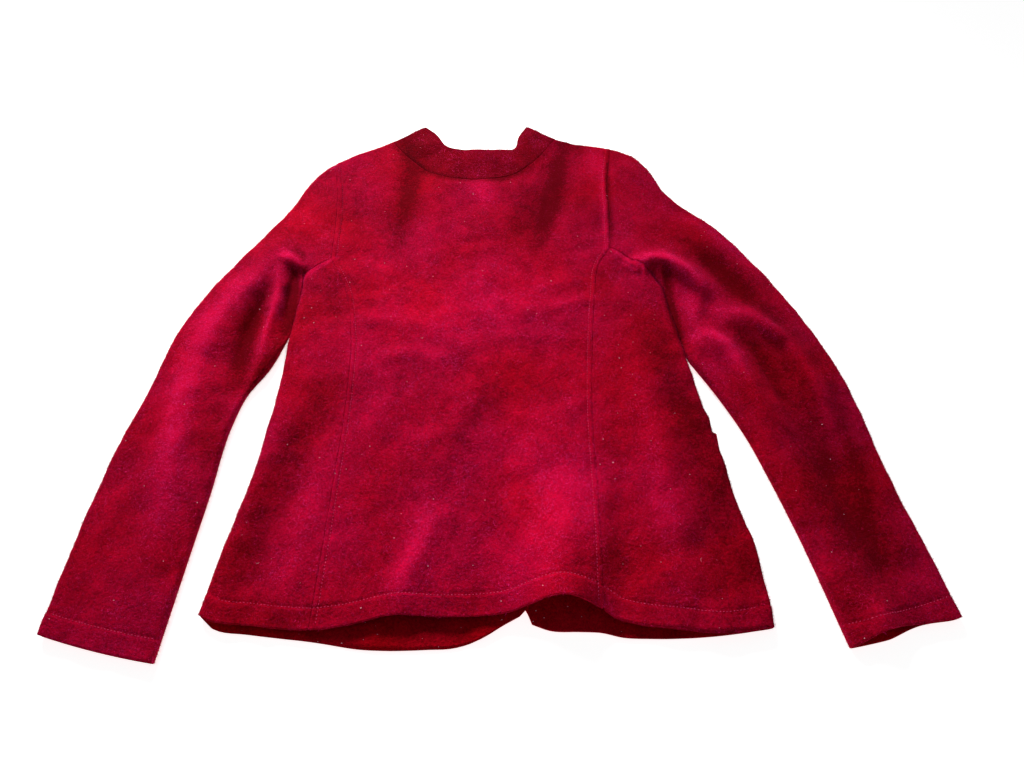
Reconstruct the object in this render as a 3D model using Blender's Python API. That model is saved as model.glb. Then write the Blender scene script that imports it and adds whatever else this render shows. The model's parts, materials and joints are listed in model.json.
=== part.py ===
"""Button cardigan in boiled wool, laid flat with its back up and its sleeves at its sides.

Each cut piece is a wall of cloth. The back lies over the two fronts: both layers come from one
pair of height functions over the plan, rounded where the cloth folds over at the outline.
Lengths in this file are in millimetres. X runs across the body, Y from hem to neck, Z up.
"""

import math
from collections import namedtuple

import bpy
import numpy as np

MM = 0.001

# Cloth
WALL = 2.4                # boiled wool
GAP = 0.3                 # between sewn pieces, and between one layer and what lies on it
FOLD_HEIGHT = 4.0         # height of the outermost line of a fold
FOLD_REACH = 5.2          # how far in from a fold the cloth stays round
ROLL_ANGLES = (45, 90)    # where a fold's round has its points
CROWN = 9.6               # height of the upper layer where nothing lifts or presses it
CROWN_LEAST = 8.4         # the upper layer never lies lower than this
CROWN_EASE = 0.6          # how softly it meets that lowest height
ARMPIT_GAP = 0.8          # between sleeve and body where they lie side by side

# Front closing, hidden underneath: the right front laps over the left, so it lies lower
LAP = 26.0                # how far the fronts overlap
LEFT_LAP_FLAT = 34.0      # raised band along the left front's edge, then its slope's end
LEFT_LAP_END = 50.0
RIGHT_LAP_FLAT = 27.0
RIGHT_LAP_END = 42.0
BUTTONS = 5
BUTTON_RADIUS = 11.0
BUTTON_THICK = 3.0
BUTTON_SIDES = 16
BUTTON_EASE = 0.6         # bevel of its edges
BUTTON_RIM = 1.6
BUTTON_DISH = 0.9         # depth of its middle
BUTTON_HOLE = 1.2         # radius of a thread hole, and how far out it is
BUTTON_HOLE_OUT = 2.8
BUTTON_HOLE_SIDES = 6
BUTTON_TOP_Y = 175.0
BUTTON_LOW_Y = -212.0
RIGHT_LIFT_Y = (-262.0, -240.0, 205.0, 222.0)    # where the buttons lift the right front
LEFT_LIFT_Y = (-290.0, -265.0, 222.0, 240.0)
LAP_CROWN = 3.4           # what the lap adds to the height of the back over it
LAP_CROWN_FLAT = 50.0
LAP_CROWN_END = 80.0
LAP_CROWN_Y = (-310.0, -275.0, 235.0, 265.0)

# Columns of a front's grid, from its edge to the side
FRONT_MARKS = {           # distances of the first ones from the front edge
    "left": (17.0, LEFT_LAP_FLAT, LEFT_LAP_END),
    "right": (13.0, RIGHT_LAP_FLAT, RIGHT_LAP_END),
}
FRONT_COLUMNS = 4         # and how many more there are
LAP_SHARE = 0.45          # most of a narrow row that its lap columns may take

# Patch pockets, each under a front
POCKET_ROWS = slice(3, 10)      # rows of the front's grid that a pocket covers, hem upwards
POCKET_TAB = 6.5          # how far the right pocket's top corner stands out at the side
POCKET_TAB_DROP = 5.0     # and how far it lies below the rest of the pocket's top
POCKET_TAB_ROWS = 2.5     # rows over which it draws back under the front
POCKET_IN = 0.7 * FOLD_REACH    # how far in from the fold the rest of its side lies
POCKET_COLUMNS = {"left": slice(5, 8), "right": slice(6, None)}

# Rows and columns of the cut pieces
BODY_ROWS = 18            # hem to underarm
ARMHOLE_STEPS = 8
NECK_STEPS = 8            # back neck
FRONT_NECK_STEPS = ARMHOLE_STEPS
SHOULDER_STEPS = 3
SIDE_COLUMNS = 4
SLEEVE_SLIT_ROWS = SIDE_COLUMNS + 2    # sleeve rows that end on the underarm seam
SLEEVE_ROWS = 28
SLIT_SHARE = 0.2          # share of the sleeve's outer edge beside those rows
CURVE_STEPS = 10          # points for each row of an outline table

# Places where pieces meet: x, y in plan
COLLAR_PEAK = {"left": (-108.0, 346.5), "right": (30.0, 348.0)}
NECK_POINT = {"left": (-149.0, 318.0), "right": (68.0, 323.0)}
SHOULDER_POINT = {"left": (-218.5, 277.0), "right": (139.0, 303.5)}
CUFF_OUTSIDE = {"left": (-424.0, -316.0), "right": (426.0, -300.0)}
CUFF_INSIDE = {"left": (-312.5, -341.0), "right": (317.0, -327.5)}
UNDERARM = {"left": (-235.5, 97.0), "right": (175.5, 98.0)}
SLEEVE_PARTS = {"left": (-241.0, 12.0), "right": (203.0, -18.0)}    # from the body
SIDE_HEM = {"left": (-281.0, -298.0), "right": (251.0, -309.5)}
PRINCESS_TOP = {"left": (-206.5, 120.7), "right": (128.0, 136.0)}
FRONT_TOP = {"left": (-18.0, 222.0), "right": (-44.0, 222.0)}

# Outline tables: x, y of points in plan, joined by smooth curves
EDGE_TOP = {              # collar peak, neck point, shoulder point, then down the sleeve
    "left": [COLLAR_PEAK["left"], NECK_POINT["left"], SHOULDER_POINT["left"], (-236, 260),
             (-250, 238), (-266, 199), (-302, 141), (-344, 71), (-366, 20), (-382, -58),
             (-401, -136), (-415, -230), CUFF_OUTSIDE["left"]],
    "right": [COLLAR_PEAK["right"], NECK_POINT["right"], SHOULDER_POINT["right"], (169, 290),
              (186, 265), (204, 225), (257, 170), (299, 112), (345, 25), (375, -58),
              (388, -135), (407, -219), CUFF_OUTSIDE["right"]],
}
ARMPIT = {                # shared by body and sleeve, from the underarm down to where they part
    "left": [UNDERARM["left"], (-236.5, 66), (-239.5, 36), SLEEVE_PARTS["left"]],
    "right": [UNDERARM["right"], (187.5, 74), (191.5, 46), (198, 16), SLEEVE_PARTS["right"]],
}
BODY_SIDE = {
    "left": [SLEEVE_PARTS["left"], (-242, -41), (-247, -106), (-253, -157), (-265, -213),
             SIDE_HEM["left"]],
    "right": [SLEEVE_PARTS["right"], (214.5, -82), (223, -128), (232, -179), (243, -227),
              (250, -271), SIDE_HEM["right"]],
}
SLEEVE_INSIDE = {
    "left": [SLEEVE_PARTS["left"], (-256, -31), (-276, -66), (-286, -104), (-293.5, -179),
             (-302, -250), CUFF_INSIDE["left"]],
    "right": [SLEEVE_PARTS["right"], (231, -66), (254, -113.5), (272, -165), (289, -220),
              CUFF_INSIDE["right"]],
}
CUFF_BOW = 2.0
ARMHOLE = {               # shoulder point down to where the princess seam starts
    "left": [SHOULDER_POINT["left"], (-208.5, 207), (-206.5, 158), PRINCESS_TOP["left"]],
    "right": [SHOULDER_POINT["right"], (131, 239), (130.5, 180), PRINCESS_TOP["right"]],
}
PRINCESS = {              # hem up to the armhole
    "left": [(-176, -312), (-171, -186), (-167.5, -85), (-171, 13), (-181, 65),
             PRINCESS_TOP["left"]],
    "right": [(94.5, -293), (95.5, -165), (95, -97), (99, -12), (106, 65), (113, 110),
              PRINCESS_TOP["right"]],
}
SIDE_SEAM_IN = {"left": 12.0, "right": 41.0}     # side seam to fold at the hem
SIDE_SEAM_TOP = 14.0                             # and at the underarm, along the armhole
SIDE_SEAM_LEAN = 0.75                            # the armhole's slant draws it this much nearer
BACK_NECK = [NECK_POINT["left"], (-123, 286), (-97, 262.4), (-62, 249), (-36, 246.8),
             (-9.4, 250), (14, 257), (36, 277), NECK_POINT["right"]]
COLLAR_TOP = [COLLAR_PEAK["left"], (-90, 329), (-76, 307), (-59, 299), (-30, 297.5),
              (-6, 297.5), (12, 301), (18, 323), COLLAR_PEAK["right"]]
FRONT_NECK = {            # front edge round to the neck point
    "left": [FRONT_TOP["left"], (-50, 223), (-95, 240), (-128, 272), NECK_POINT["left"]],
    "right": [FRONT_TOP["right"], (-20, 223), (20, 240), (50, 275), NECK_POINT["right"]],
}
COLLAR_FRONT_TOP = {
    "left": [(-18, 270), (-50, 271), (-76, 285), (-95, 310), COLLAR_PEAK["left"]],
    "right": [(-44, 270), (-20, 271), (2, 285), (18, 310), COLLAR_PEAK["right"]],
}
BACK_HEM = [SIDE_HEM["left"], (-270, -303.5), (-234, -308), (-207, -311), (-173.5, -312.4),
            (-145.5, -309), (-103, -300), (-50, -301), (-20, -300), (7, -297), (28, -290.7),
            (42.5, -287), (59, -286.2), (73, -289), (92, -295), (104, -301.7), (123, -307),
            (165, -312.4), (206, -316), SIDE_HEM["right"]]
FRONT_HEM = {             # side round to the front corner
    "left": [SIDE_HEM["left"], (-267, -309.5), (-234, -315), (-207, -318), (-171, -322),
             (-127, -328.4), (-66, -328.4), (-43, -327), (-19.5, -319.6), (2.4, -307),
             (17.2, -299)],
    "right": [SIDE_HEM["right"], (207, -315.5), (165, -318.5), (134, -318.7), (112, -317.8),
              (91.7, -313.4), (70.6, -312.5), (45, -311.6), (28.3, -306)],
}
FRONT_CORNER = {          # rounded corner, from the hem up to the straight front edge
    "left": [(17.2, -299), (26, -289), (31, -275), (31, -258), (28.6, -245)],
    "right": [(28.3, -306), (24, -296), (16, -284), (8, -268), (2.6, -245)],
}

# Folds and hollows of the upper layer: a line from start to end that bows sideways, with its
# height above (or below) the crown and its half width
Ridge = namedtuple("Ridge", "x0 y0 x1 y1 bow height width")
RIDGE_FADE = 0.8          # how bluntly a fold ends
RIDGES = [
    # left sleeve
    (-245, 190, -322, -20, 6, 6.5, 24),
    (-322, -20, -330, -330, 16, 3.0, 22),
    (-262, 108, -268, -30, 2, 4.0, 12),
    (-243, 120, -244, 30, 0, -3.5, 9),
    (-276, 100, -302, -110, -5, -3.0, 11),
    (-400, -110, -412, -300, 0, 1.5, 24),
    # right sleeve
    (150, 280, 225, 205, 0, 4.0, 20),
    (225, 205, 390, -90, 12, 5.0, 22),
    (138, 118, 236, 40, -38, 9.5, 13),
    (203, 96, 213, 0, -4, -7.0, 16),
    (240, 28, 312, -2, -14, 5.5, 13),
    (212, 0, 262, -2, 0, 4.0, 14),
    (240, 0, 292, -130, -6, 4.5, 15),
    (225, 135, 326, 20, 0, -3.5, 16),
    (290, -20, 372, -270, -6, -3.0, 15),
    (308, -5, 385, -260, -12, 3.5, 14),
    (292, -130, 350, -330, 6, 4.0, 26),
    # body
    (-27, 244, -24, 120, 0, 2.5, 26),
    (-100, 300, -118, 130, 6, -2.0, 16),
    (92, 290, 40, 140, 4, -2.0, 18),
    (-110, 151, 114, 151, 0, -0.9, 10),
    (48, -15, -50, -180, 6, -2.2, 18),
    (-20, -200, 22, -160, 0, -1.4, 12),
    (-62, -190, -104, -340, -4, 2.6, 22),
    (-190, -40, -246, -330, 0, -2.4, 20),
    (-222, -60, -262, -330, 4, 2.0, 14),
    (105, -170, 122, -330, 0, -2.0, 12),
    (130, -150, 166, -340, 0, 3.4, 20),
    (182, -60, 226, -320, 8, -2.6, 20),
    (63, -190, 57, -390, 0, 21.0, 28),
    (186, -300, 236, -330, 0, 1.5, 26),
    # collar
    (-120, 315, -92, 292, 0, 3.0, 22),
    (10, 315, 45, 318, 0, 3.0, 20),
]

WOOL_ROUGHNESS = 0.92
BUTTON_ROUGHNESS = 0.35
BUTTON_COLOUR = (0.030, 0.004, 0.008, 1.0)
CLOTH_COLOURS = {         # one red wool; the pieces differ by their nap's direction
    "back": (0.300, 0.0015, 0.020, 1.0),
    "side": (0.285, 0.0015, 0.019, 1.0),
    "front": (0.260, 0.0012, 0.012, 1.0),
    "sleeve": (0.290, 0.0015, 0.022, 1.0),
    "collar": (0.310, 0.0020, 0.022, 1.0),
    "pocket": (0.270, 0.0012, 0.016, 1.0),
}


# ---- curves ------------------------------------------------------------------------------

def lengths(line):
    """Distance along a line at each of its points."""
    steps = np.linalg.norm(np.diff(line, axis=0), axis=1)
    return np.concatenate([[0.0], np.cumsum(steps)])


def smooth(table):
    """A smooth line through a table's points, with CURVE_STEPS points for each row."""
    knots = np.array(table, float)
    tangents = np.gradient(knots, lengths(knots), axis=0)
    spans = np.diff(lengths(knots))
    line = [knots[:1]]
    for start, end, head, tail, span in zip(knots, knots[1:], tangents, tangents[1:], spans):
        t = np.arange(1, CURVE_STEPS + 1)[:, None] / CURVE_STEPS
        line.append((2 * t**3 - 3 * t**2 + 1) * start + (t**3 - 2 * t**2 + t) * span * head
                    + (3 * t**2 - 2 * t**3) * end + (t**3 - t**2) * span * tail)
    return np.concatenate(line)


def at(line, distances):
    """Points of a line at distances along it."""
    reach = lengths(line)
    return np.stack([np.interp(distances, reach, line[:, k]) for k in (0, 1)], axis=-1)


def steps(line, count):
    """The line with count even steps."""
    return at(line, np.linspace(0, lengths(line)[-1], count + 1))


def join(*lines):
    """Lines end to end, each sharing its first point with the last one's end."""
    return np.concatenate([lines[0]] + [line[1:] for line in lines[1:]])


def shifted(line, distance):
    """The line moved to its left."""
    along = np.gradient(line, axis=0)
    along /= np.linalg.norm(along, axis=1)[:, None]
    return line + distance * np.stack([-along[:, 1], along[:, 0]], axis=1)


def ramp(value, low, high):
    """0 below low, 1 above high, and a soft slope between."""
    t = np.clip((value - low) / (high - low), 0, 1)
    return t * t * (3 - 2 * t)


def band(value, limits):
    """1 inside a band and 0 outside it, with soft slopes."""
    start, full, fade, end = limits
    return ramp(value, start, full) * (1 - ramp(value, fade, end))


# ---- outline -----------------------------------------------------------------------------

EDGE = {side: smooth(table) for side, table in EDGE_TOP.items()}
COLLAR_FOLD = {side: line[:CURVE_STEPS + 1] for side, line in EDGE.items()}
SHOULDER = {side: line[CURVE_STEPS:2 * CURVE_STEPS + 1] for side, line in EDGE.items()}
SLEEVE_OUTSIDE = {side: line[2 * CURVE_STEPS:] for side, line in EDGE.items()}
INWARD = {"left": 1.0, "right": -1.0}            # from each side, the way to the middle


def groove(side, towards):
    """The armpit line, moved half the gap towards the body (1) or the sleeve (-1)."""
    line = smooth(ARMPIT[side])
    return shifted(line, INWARD[side] * towards * ARMPIT_GAP / 2)


def fold_line(side, towards, rest):
    upper = groove(side, towards)
    lower = smooth(rest[side])
    return np.concatenate([upper[:-1], lower[1:]])


BODY_FOLD = {side: fold_line(side, 1, BODY_SIDE) for side in INWARD}
SLEEVE_FOLD = {side: fold_line(side, -1, SLEEVE_INSIDE) for side in INWARD}

# the part's origin is under the middle of its outline
OUTLINE = np.concatenate([*EDGE.values(), *SLEEVE_FOLD.values(), *BODY_FOLD.values()])
ORIGIN = (OUTLINE.min(0) + OUTLINE.max(0)) / 2

# every fold, run so that the cloth is on its left
FOLDS = [EDGE["left"], SLEEVE_FOLD["left"][::-1], BODY_FOLD["left"],
         BODY_FOLD["right"][::-1], SLEEVE_FOLD["right"], EDGE["right"][::-1]]
FOLD_STARTS = np.concatenate([line[:-1] for line in FOLDS])
FOLD_ENDS = np.concatenate([line[1:] for line in FOLDS])


def nearest_fold(points, on_fold):
    """Distance of plan points from the nearest fold, and the direction away from it."""
    run = FOLD_ENDS - FOLD_STARTS
    square = (run**2).sum(1)
    share = ((points[:, None] - FOLD_STARTS) * run).sum(2) / square
    foot = FOLD_STARTS + np.clip(share, 0, 1)[..., None] * run
    gaps = np.linalg.norm(points[:, None] - foot, axis=2)
    nearest = gaps.argmin(1)
    rows = np.arange(len(points))
    distance = gaps[rows, nearest]
    left = np.stack([-run[:, 1], run[:, 0]], 1) / np.sqrt(square)[:, None]
    away = (points - foot[rows, nearest]) / np.maximum(distance, 1e-9)[:, None]
    close = on_fold | (distance < GAP)
    away[close] = left[nearest[close]]
    return np.where(on_fold, 0.0, distance), away


# ---- heights -----------------------------------------------------------------------------

def centre_front(y):
    """X of the centre front line, which leans from the neck to the hem."""
    return np.interp(y, (-290.0, 222.0), (20.0, -31.0))


def crown(points):
    """Height of the upper layer's outer face, away from the folds."""
    x, y = points.T
    height = np.full(len(points), CROWN)
    for ridge in map(Ridge._make, RIDGES):
        run_x, run_y = ridge.x1 - ridge.x0, ridge.y1 - ridge.y0
        length = math.hypot(run_x, run_y)
        along = ((x - ridge.x0) * run_x + (y - ridge.y0) * run_y) / length**2
        across = ((y - ridge.y0) * run_x - (x - ridge.x0) * run_y) / length
        across = across + ridge.bow * 4 * along * (1 - along)
        fade = np.clip(4 * along * (1 - along), 0, 1) ** RIDGE_FADE
        height = height + ridge.height * fade * np.exp(-(across / ridge.width)**2)
    beside = np.abs(x - centre_front(y) + LAP / 2)
    lap = LAP_CROWN * (1 - ramp(beside, LAP_CROWN_FLAT, LAP_CROWN_END)) * band(y, LAP_CROWN_Y)
    least = CROWN_LEAST + lap
    return least + CROWN_EASE * np.logaddexp(0, (height - least) / CROWN_EASE)


def slope(function, points, step=0.05):
    """Gradient of a height function."""
    shift = np.eye(2) * step
    return np.stack([(function(points + s) - function(points - s)) / (2 * step)
                     for s in shift], axis=1)


def sheet(points, layer, floor=0.0, folded=()):
    """Outer face of one layer over plan points: places and outward normals.

    layer is 1 for the upper layer and -1 for the lower one. floor lifts the lower layer.
    folded picks the points that lie on a fold, where both layers meet.
    """
    flat = points.reshape(-1, 2)
    on_fold = np.zeros(points.shape[:-1], bool)
    for pick in folded:
        on_fold[pick] = True
    distance, away = nearest_fold(flat, on_fold.reshape(-1))
    inner = 1 - np.clip(distance / FOLD_REACH, 0, 1)
    rise = np.sqrt(1 - inner**2)
    lift = np.broadcast_to(floor, points.shape[:-1]).reshape(-1)
    if layer > 0:
        top = crown(flat)
        tilt = ((top - FOLD_HEIGHT) * inner / FOLD_REACH)[:, None] * away
        tilt = tilt + (rise**2)[:, None] * slope(crown, flat)
        height = FOLD_HEIGHT + (top - FOLD_HEIGHT) * rise
        height = height + lift * inner**2
    else:
        tilt = (FOLD_HEIGHT * inner / FOLD_REACH)[:, None] * away
        height = FOLD_HEIGHT * (1 - rise) + lift
    normals = np.column_stack([-tilt, rise * layer])
    normals /= np.linalg.norm(normals, axis=1)[:, None]
    places = np.column_stack([flat, height])
    shape = points.shape[:-1] + (3,)
    return places.reshape(shape), normals.reshape(shape)


# ---- grids -------------------------------------------------------------------------------

ALL = slice(None)

FOLD_SEAM = FOLD_REACH * (1 - math.sqrt(1 - (GAP / 2 / FOLD_HEIGHT)**2))
ROLL = [FOLD_REACH * (1 - math.cos(math.radians(angle))) for angle in ROLL_ANGLES]


def stops(length, marks, roll_start=False, roll_end=False):
    """Distances along a row: its marks, and the points of a fold's round at either end."""
    inner = [mark for mark in marks if 0 < mark < length]
    first = ROLL if roll_start else []
    last = [length - step for step in reversed(ROLL)] if roll_end else []
    low = first[-1] if roll_start else 0.0
    high = last[0] if roll_end else length
    inner = [min(max(mark, low + 0.5), high - 0.5) for mark in inner]
    return np.array([0.0, *first, *inner, *last, length])


def even(length, count, start=0.0, end=0.0):
    """count marks spread evenly between a start and an end left free."""
    return list(np.linspace(start, length - end, count + 2)[1:-1])


def inset(sides, gaps):
    """Sides of a closed outline, anticlockwise, each moved inwards by its own gap."""
    moved = []
    for number, (line, gap) in enumerate(zip(sides, gaps)):
        before, after = sides[number - 1], sides[(number + 1) % len(sides)]
        runs = np.concatenate([[before[-1] - before[-2]], np.diff(line, axis=0),
                               [after[1] - after[0]]])
        depth = np.concatenate([[gaps[number - 1]], np.full(len(line) - 1, gap),
                                [gaps[(number + 1) % len(sides)]]])
        runs /= np.linalg.norm(runs, axis=1)[:, None]
        inward = np.stack([-runs[:, 1], runs[:, 0]], 1)
        points = []
        for point, n0, n1, g0, g1 in zip(line, inward, inward[1:], depth, depth[1:]):
            turn = n0[0] * n1[1] - n0[1] * n1[0]
            if abs(turn) < 0.05:
                points.append(point + (n0 + n1) * (g0 + g1) / 4)
            else:
                points.append(point + np.array([g0 * n1[1] - g1 * n0[1],
                                                g1 * n0[0] - g0 * n1[0]]) / turn)
        moved.append(np.array(points))
    return moved


def fill(bottom, right, top, left, shares):
    """Grid between four sides. shares[i, j] says how far column j is along row i."""
    rise = (lengths(left) / lengths(left)[-1] + lengths(right) / lengths(right)[-1]) / 2
    grid = left[:, None] + (right - left)[:, None] * shares[..., None]
    for row, line, weight in ((0, bottom, 1 - rise), (-1, top, rise)):
        grid = grid + weight[:, None, None] * (line - grid[row])
    return grid


def shares_of(line):
    return lengths(line) / lengths(line)[-1]


def blend_shares(bottom, top, rows):
    """Shares that pass evenly from those of the bottom side to those of the top."""
    t = np.linspace(0, 1, rows)[:, None]
    return (1 - t) * shares_of(bottom) + t * shares_of(top)


class Cloth:
    """One cut piece: faces of its outer side, closed into a solid by its wall."""

    def __init__(self):
        self.index = {}
        self.places = []
        self.normals = []
        self.faces = []

    def vertex(self, place, normal):
        key = tuple(np.round(place, 3))
        if key not in self.index:
            self.index[key] = len(self.places)
            self.places.append(place)
            self.normals.append(normal)
        return self.index[key]

    def add(self, places, normals):
        """Adds a grid of outer points."""
        ids = np.array([[self.vertex(p, n) for p, n in zip(*row)]
                        for row in zip(places, normals)])
        for i in range(ids.shape[0] - 1):
            for j in range(ids.shape[1] - 1):
                quad = [ids[i, j], ids[i, j + 1], ids[i + 1, j + 1], ids[i + 1, j]]
                corners = np.array([self.places[k] for k in quad])
                facing = np.cross(corners[2] - corners[0], corners[3] - corners[1])
                if facing @ sum(self.normals[k] for k in quad) < 0:
                    quad.reverse()
                self.faces.append(quad)

    def solid(self):
        """Points and faces of the closed wall.

        Its edges are split the same way on both sides of a seam, so that neighbours stay clear.
        """
        outer = np.array(self.places)
        inner = outer - WALL * np.array(self.normals)
        count = len(outer)
        faces = list(self.faces) + [[k + count for k in reversed(face)] for face in self.faces]
        edges = {(a, b) for face in self.faces for a, b in zip(face, face[1:] + face[:1])}
        for a, b in sorted(edges):
            if (b, a) in edges:
                continue
            if outer[a, 1] < outer[b, 1]:
                faces += [[b, a, b + count], [a, a + count, b + count]]
            else:
                faces += [[b, a, a + count], [b, a + count, b + count]]
        return np.concatenate([outer, inner]), faces


# ---- materials and objects ---------------------------------------------------------------

def material(name, colour, roughness, metallic=0.0):
    made = bpy.data.materials.new(name)
    made.use_nodes = True
    shader = made.node_tree.nodes["Principled BSDF"]
    shader.inputs["Base Color"].default_value = colour
    shader.inputs["Roughness"].default_value = roughness
    shader.inputs["Metallic"].default_value = metallic
    made.diffuse_color = colour
    return made


def make_object(name, points, faces, finish):
    mesh = bpy.data.meshes.new(name)
    places = (np.asarray(points, float) - (*ORIGIN, 0.0)) * MM
    mesh.from_pydata(places.tolist(), [], [[int(k) for k in face] for face in faces])
    mesh.materials.append(finish)
    mesh.shade_smooth()
    mesh.set_sharp_from_angle(angle=math.radians(40))
    thing = bpy.data.objects.new(name, mesh)
    bpy.context.collection.objects.link(thing)
    return thing


def cloth_material(kind, name):
    return material(f"{name}_wool", CLOTH_COLOURS[kind], WOOL_ROUGHNESS)


def make_cloth(name, kind, sheets):
    """Makes a cut piece from grids, each with its places and normals."""
    piece = Cloth()
    for places, normals in sheets:
        piece.add(places, normals)
    return make_object(name, *piece.solid(), cloth_material(kind, name))


# ---- seams shared by neighbours ----------------------------------------------------------

PRINCESS_SEAM = {side: steps(smooth(PRINCESS[side]), BODY_ROWS) for side in INWARD}
ARMHOLE_SEAM = {side: steps(smooth(ARMHOLE[side]), ARMHOLE_STEPS) for side in INWARD}
BACK_NECK_SEAM = steps(smooth(BACK_NECK), NECK_STEPS)
FRONT_NECK_SEAM = {side: steps(smooth(FRONT_NECK[side]), FRONT_NECK_STEPS) for side in INWARD}
BACK_HEM_LINE = smooth(BACK_HEM)


def underarm_seam(side):
    """Straight stretch of the armhole, from the princess seam to the underarm."""
    line = np.array([ARMHOLE_SEAM[side][-1], UNDERARM[side]])
    last = ROLL[-1] if side == "left" else SIDE_SEAM_TOP
    reach = lengths(line)[-1]
    return at(line, [0.0, *even(reach, SIDE_COLUMNS, 0.0, last), reach - last, reach])


def side_seam_top(side):
    line = underarm_seam(side)
    return at(line, lengths(line)[-1] - SIDE_SEAM_TOP)


def side_seam(side):
    """Side seam, hem to underarm, drawing nearer to the fold on its way up."""
    fold = BODY_FOLD[side][::-1]
    rise = np.linspace(0, 1, BODY_ROWS + 1)
    line = at(fold, rise * lengths(fold)[-1])
    inward = shifted(fold, -INWARD[side])
    inward = at(inward, rise * lengths(inward)[-1]) - line
    distance = SIDE_SEAM_IN[side] * (1 - rise) + SIDE_SEAM_TOP * SIDE_SEAM_LEAN * rise
    line = line + inward * distance[:, None]
    hem = BACK_HEM_LINE if side == "right" else smooth(FRONT_HEM["left"])
    line[0] = hem[np.abs(hem[:, 0] - line[0, 0]).argmin()]
    line[-1] = side_seam_top(side)
    return line


SIDE_SEAM = {side: side_seam(side) for side in INWARD}


def with_roll(line, roll_start=False, roll_end=False):
    """A line's own points, with those of a fold's round at its ends."""
    reach = lengths(line)
    return at(line, stops(reach[-1], reach, roll_start, roll_end))


def part_of(line, start, end):
    """Stretch of a line between two places on it."""
    reach = lengths(line)
    low, high = (reach[np.linalg.norm(line - place, axis=1).argmin()] for place in (start, end))
    inside = reach[(reach > low) & (reach < high)]
    return at(line, np.array([low, *inside, high]))


# ---- body --------------------------------------------------------------------------------

def make_back_centre():
    left = join(PRINCESS_SEAM["left"], with_roll(ARMHOLE_SEAM["left"][::-1], roll_end=True))
    right = join(PRINCESS_SEAM["right"], with_roll(ARMHOLE_SEAM["right"][::-1], roll_end=True))
    neck = with_roll(BACK_NECK_SEAM, True, True)
    neck = np.delete(neck, [1, -2], axis=0)
    sides = {side: steps(SHOULDER[side], SHOULDER_STEPS) for side in INWARD}
    top = [sides["left"][::-1], neck, sides["right"]]
    hem = part_of(BACK_HEM_LINE, left[0], right[0])
    hem[0], hem[-1] = left[0], right[0]
    count = sum(len(line) - 1 for line in top)
    bottom = steps(hem, count)
    outline = [bottom, right] + [line[::-1] for line in reversed(top)] + [left[::-1]]
    gaps = [0.0, GAP / 2, FOLD_SEAM, GAP / 2, FOLD_SEAM, GAP / 2]
    bottom, right, *top, left = inset(outline, gaps)
    top = join(*top)[::-1]
    left = left[::-1]
    grid = fill(bottom, right, top, left, blend_shares(bottom, top, len(left)))
    return make_cloth("back_centre", "back", [sheet(grid, 1)])


def row_shares(left, right, marks, roll_start=False, roll_end=False):
    """Shares along each row, with the points of a fold's round kept at their distances."""
    widths = np.linalg.norm(right - left, axis=1)
    return np.array([stops(width, marks(width), roll_start, roll_end) / width
                     for width in widths])


def strip(bottom, right, top, left, gaps, marks, roll_start=False, roll_end=False):
    """Grid of a piece whose rows run between two sides that fold or are sewn."""
    bottom, right, top, left = inset([bottom, right, top[::-1], left[::-1]], gaps)
    top, left = top[::-1], left[::-1]
    shares = row_shares(left, right, marks, roll_start, roll_end)
    bottom = at(bottom, shares[0] * lengths(bottom)[-1])
    top = at(top, shares[-1] * lengths(top)[-1])
    return fill(bottom, right, top, left, shares)


def fold_rows(side):
    """Points of a body fold, hem upwards, one for each row of the body."""
    return steps(BODY_FOLD[side][::-1], BODY_ROWS)


def make_back_side_left():
    fold = fold_rows("left")
    fold[-1] = UNDERARM["left"]
    princess = PRINCESS_SEAM["left"]
    hem = part_of(BACK_HEM_LINE, fold[0], princess[0])
    hem[0], hem[-1] = fold[0], princess[0]
    seam = underarm_seam("left")
    upper = strip(hem, princess, seam[::-1], fold, [0, GAP / 2, GAP / 2, 0],
                  lambda width: even(width, SIDE_COLUMNS, ROLL[-1]), True)
    side = SIDE_SEAM["left"]
    under_hem = np.array([fold[0], side[0]])
    under_top = np.array([fold[-1], side[-1]])
    lower = strip(under_hem, side, under_top, fold, [0, GAP / 2, GAP / 2, 0],
                  lambda width: [], True)
    lower[:, 0] = upper[:, 0]
    fold_side = [(ALL, 0)]
    return make_cloth("back_side_left", "side", [sheet(upper, 1, folded=fold_side),
                                                 sheet(lower, -1, folded=fold_side)])


def make_back_side_right():
    princess = PRINCESS_SEAM["right"]
    side = SIDE_SEAM["right"]
    hem = part_of(BACK_HEM_LINE, princess[0], side[0])
    hem[0], hem[-1] = princess[0], side[0]
    top = underarm_seam("right")[:-1]
    grid = strip(hem, side, top, princess, [0, GAP / 2, GAP / 2, GAP / 2],
                 lambda width: even(width, SIDE_COLUMNS))
    return make_cloth("back_side_right", "side", [sheet(grid, 1)])


def front_edge(side):
    """Front edge of one front, from its rounded hem corner to the neck."""
    corner = smooth(FRONT_CORNER[side])
    return np.concatenate([corner, FRONT_NECK_SEAM[side][:1]])


FRONT_EDGE = {side: front_edge(side) for side in INWARD}


def lap_floor(side, points):
    """How far a front is lifted beside its edge, by the buttons and by the other front."""
    x, y = points[..., 0], points[..., 1]
    edge = FRONT_EDGE[side]
    behind = np.interp(y, edge[:, 1], edge[:, 0]) - x
    if side == "left":
        lift = WALL + GAP + (BUTTON_THICK + GAP) * band(y, LEFT_LIFT_Y)
        return lift * (1 - ramp(behind, LEFT_LAP_FLAT, LEFT_LAP_END))
    lift = (BUTTON_THICK + GAP) * band(y, RIGHT_LIFT_Y)
    return lift * (1 - ramp(-behind, RIGHT_LAP_FLAT, RIGHT_LAP_END))


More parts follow.
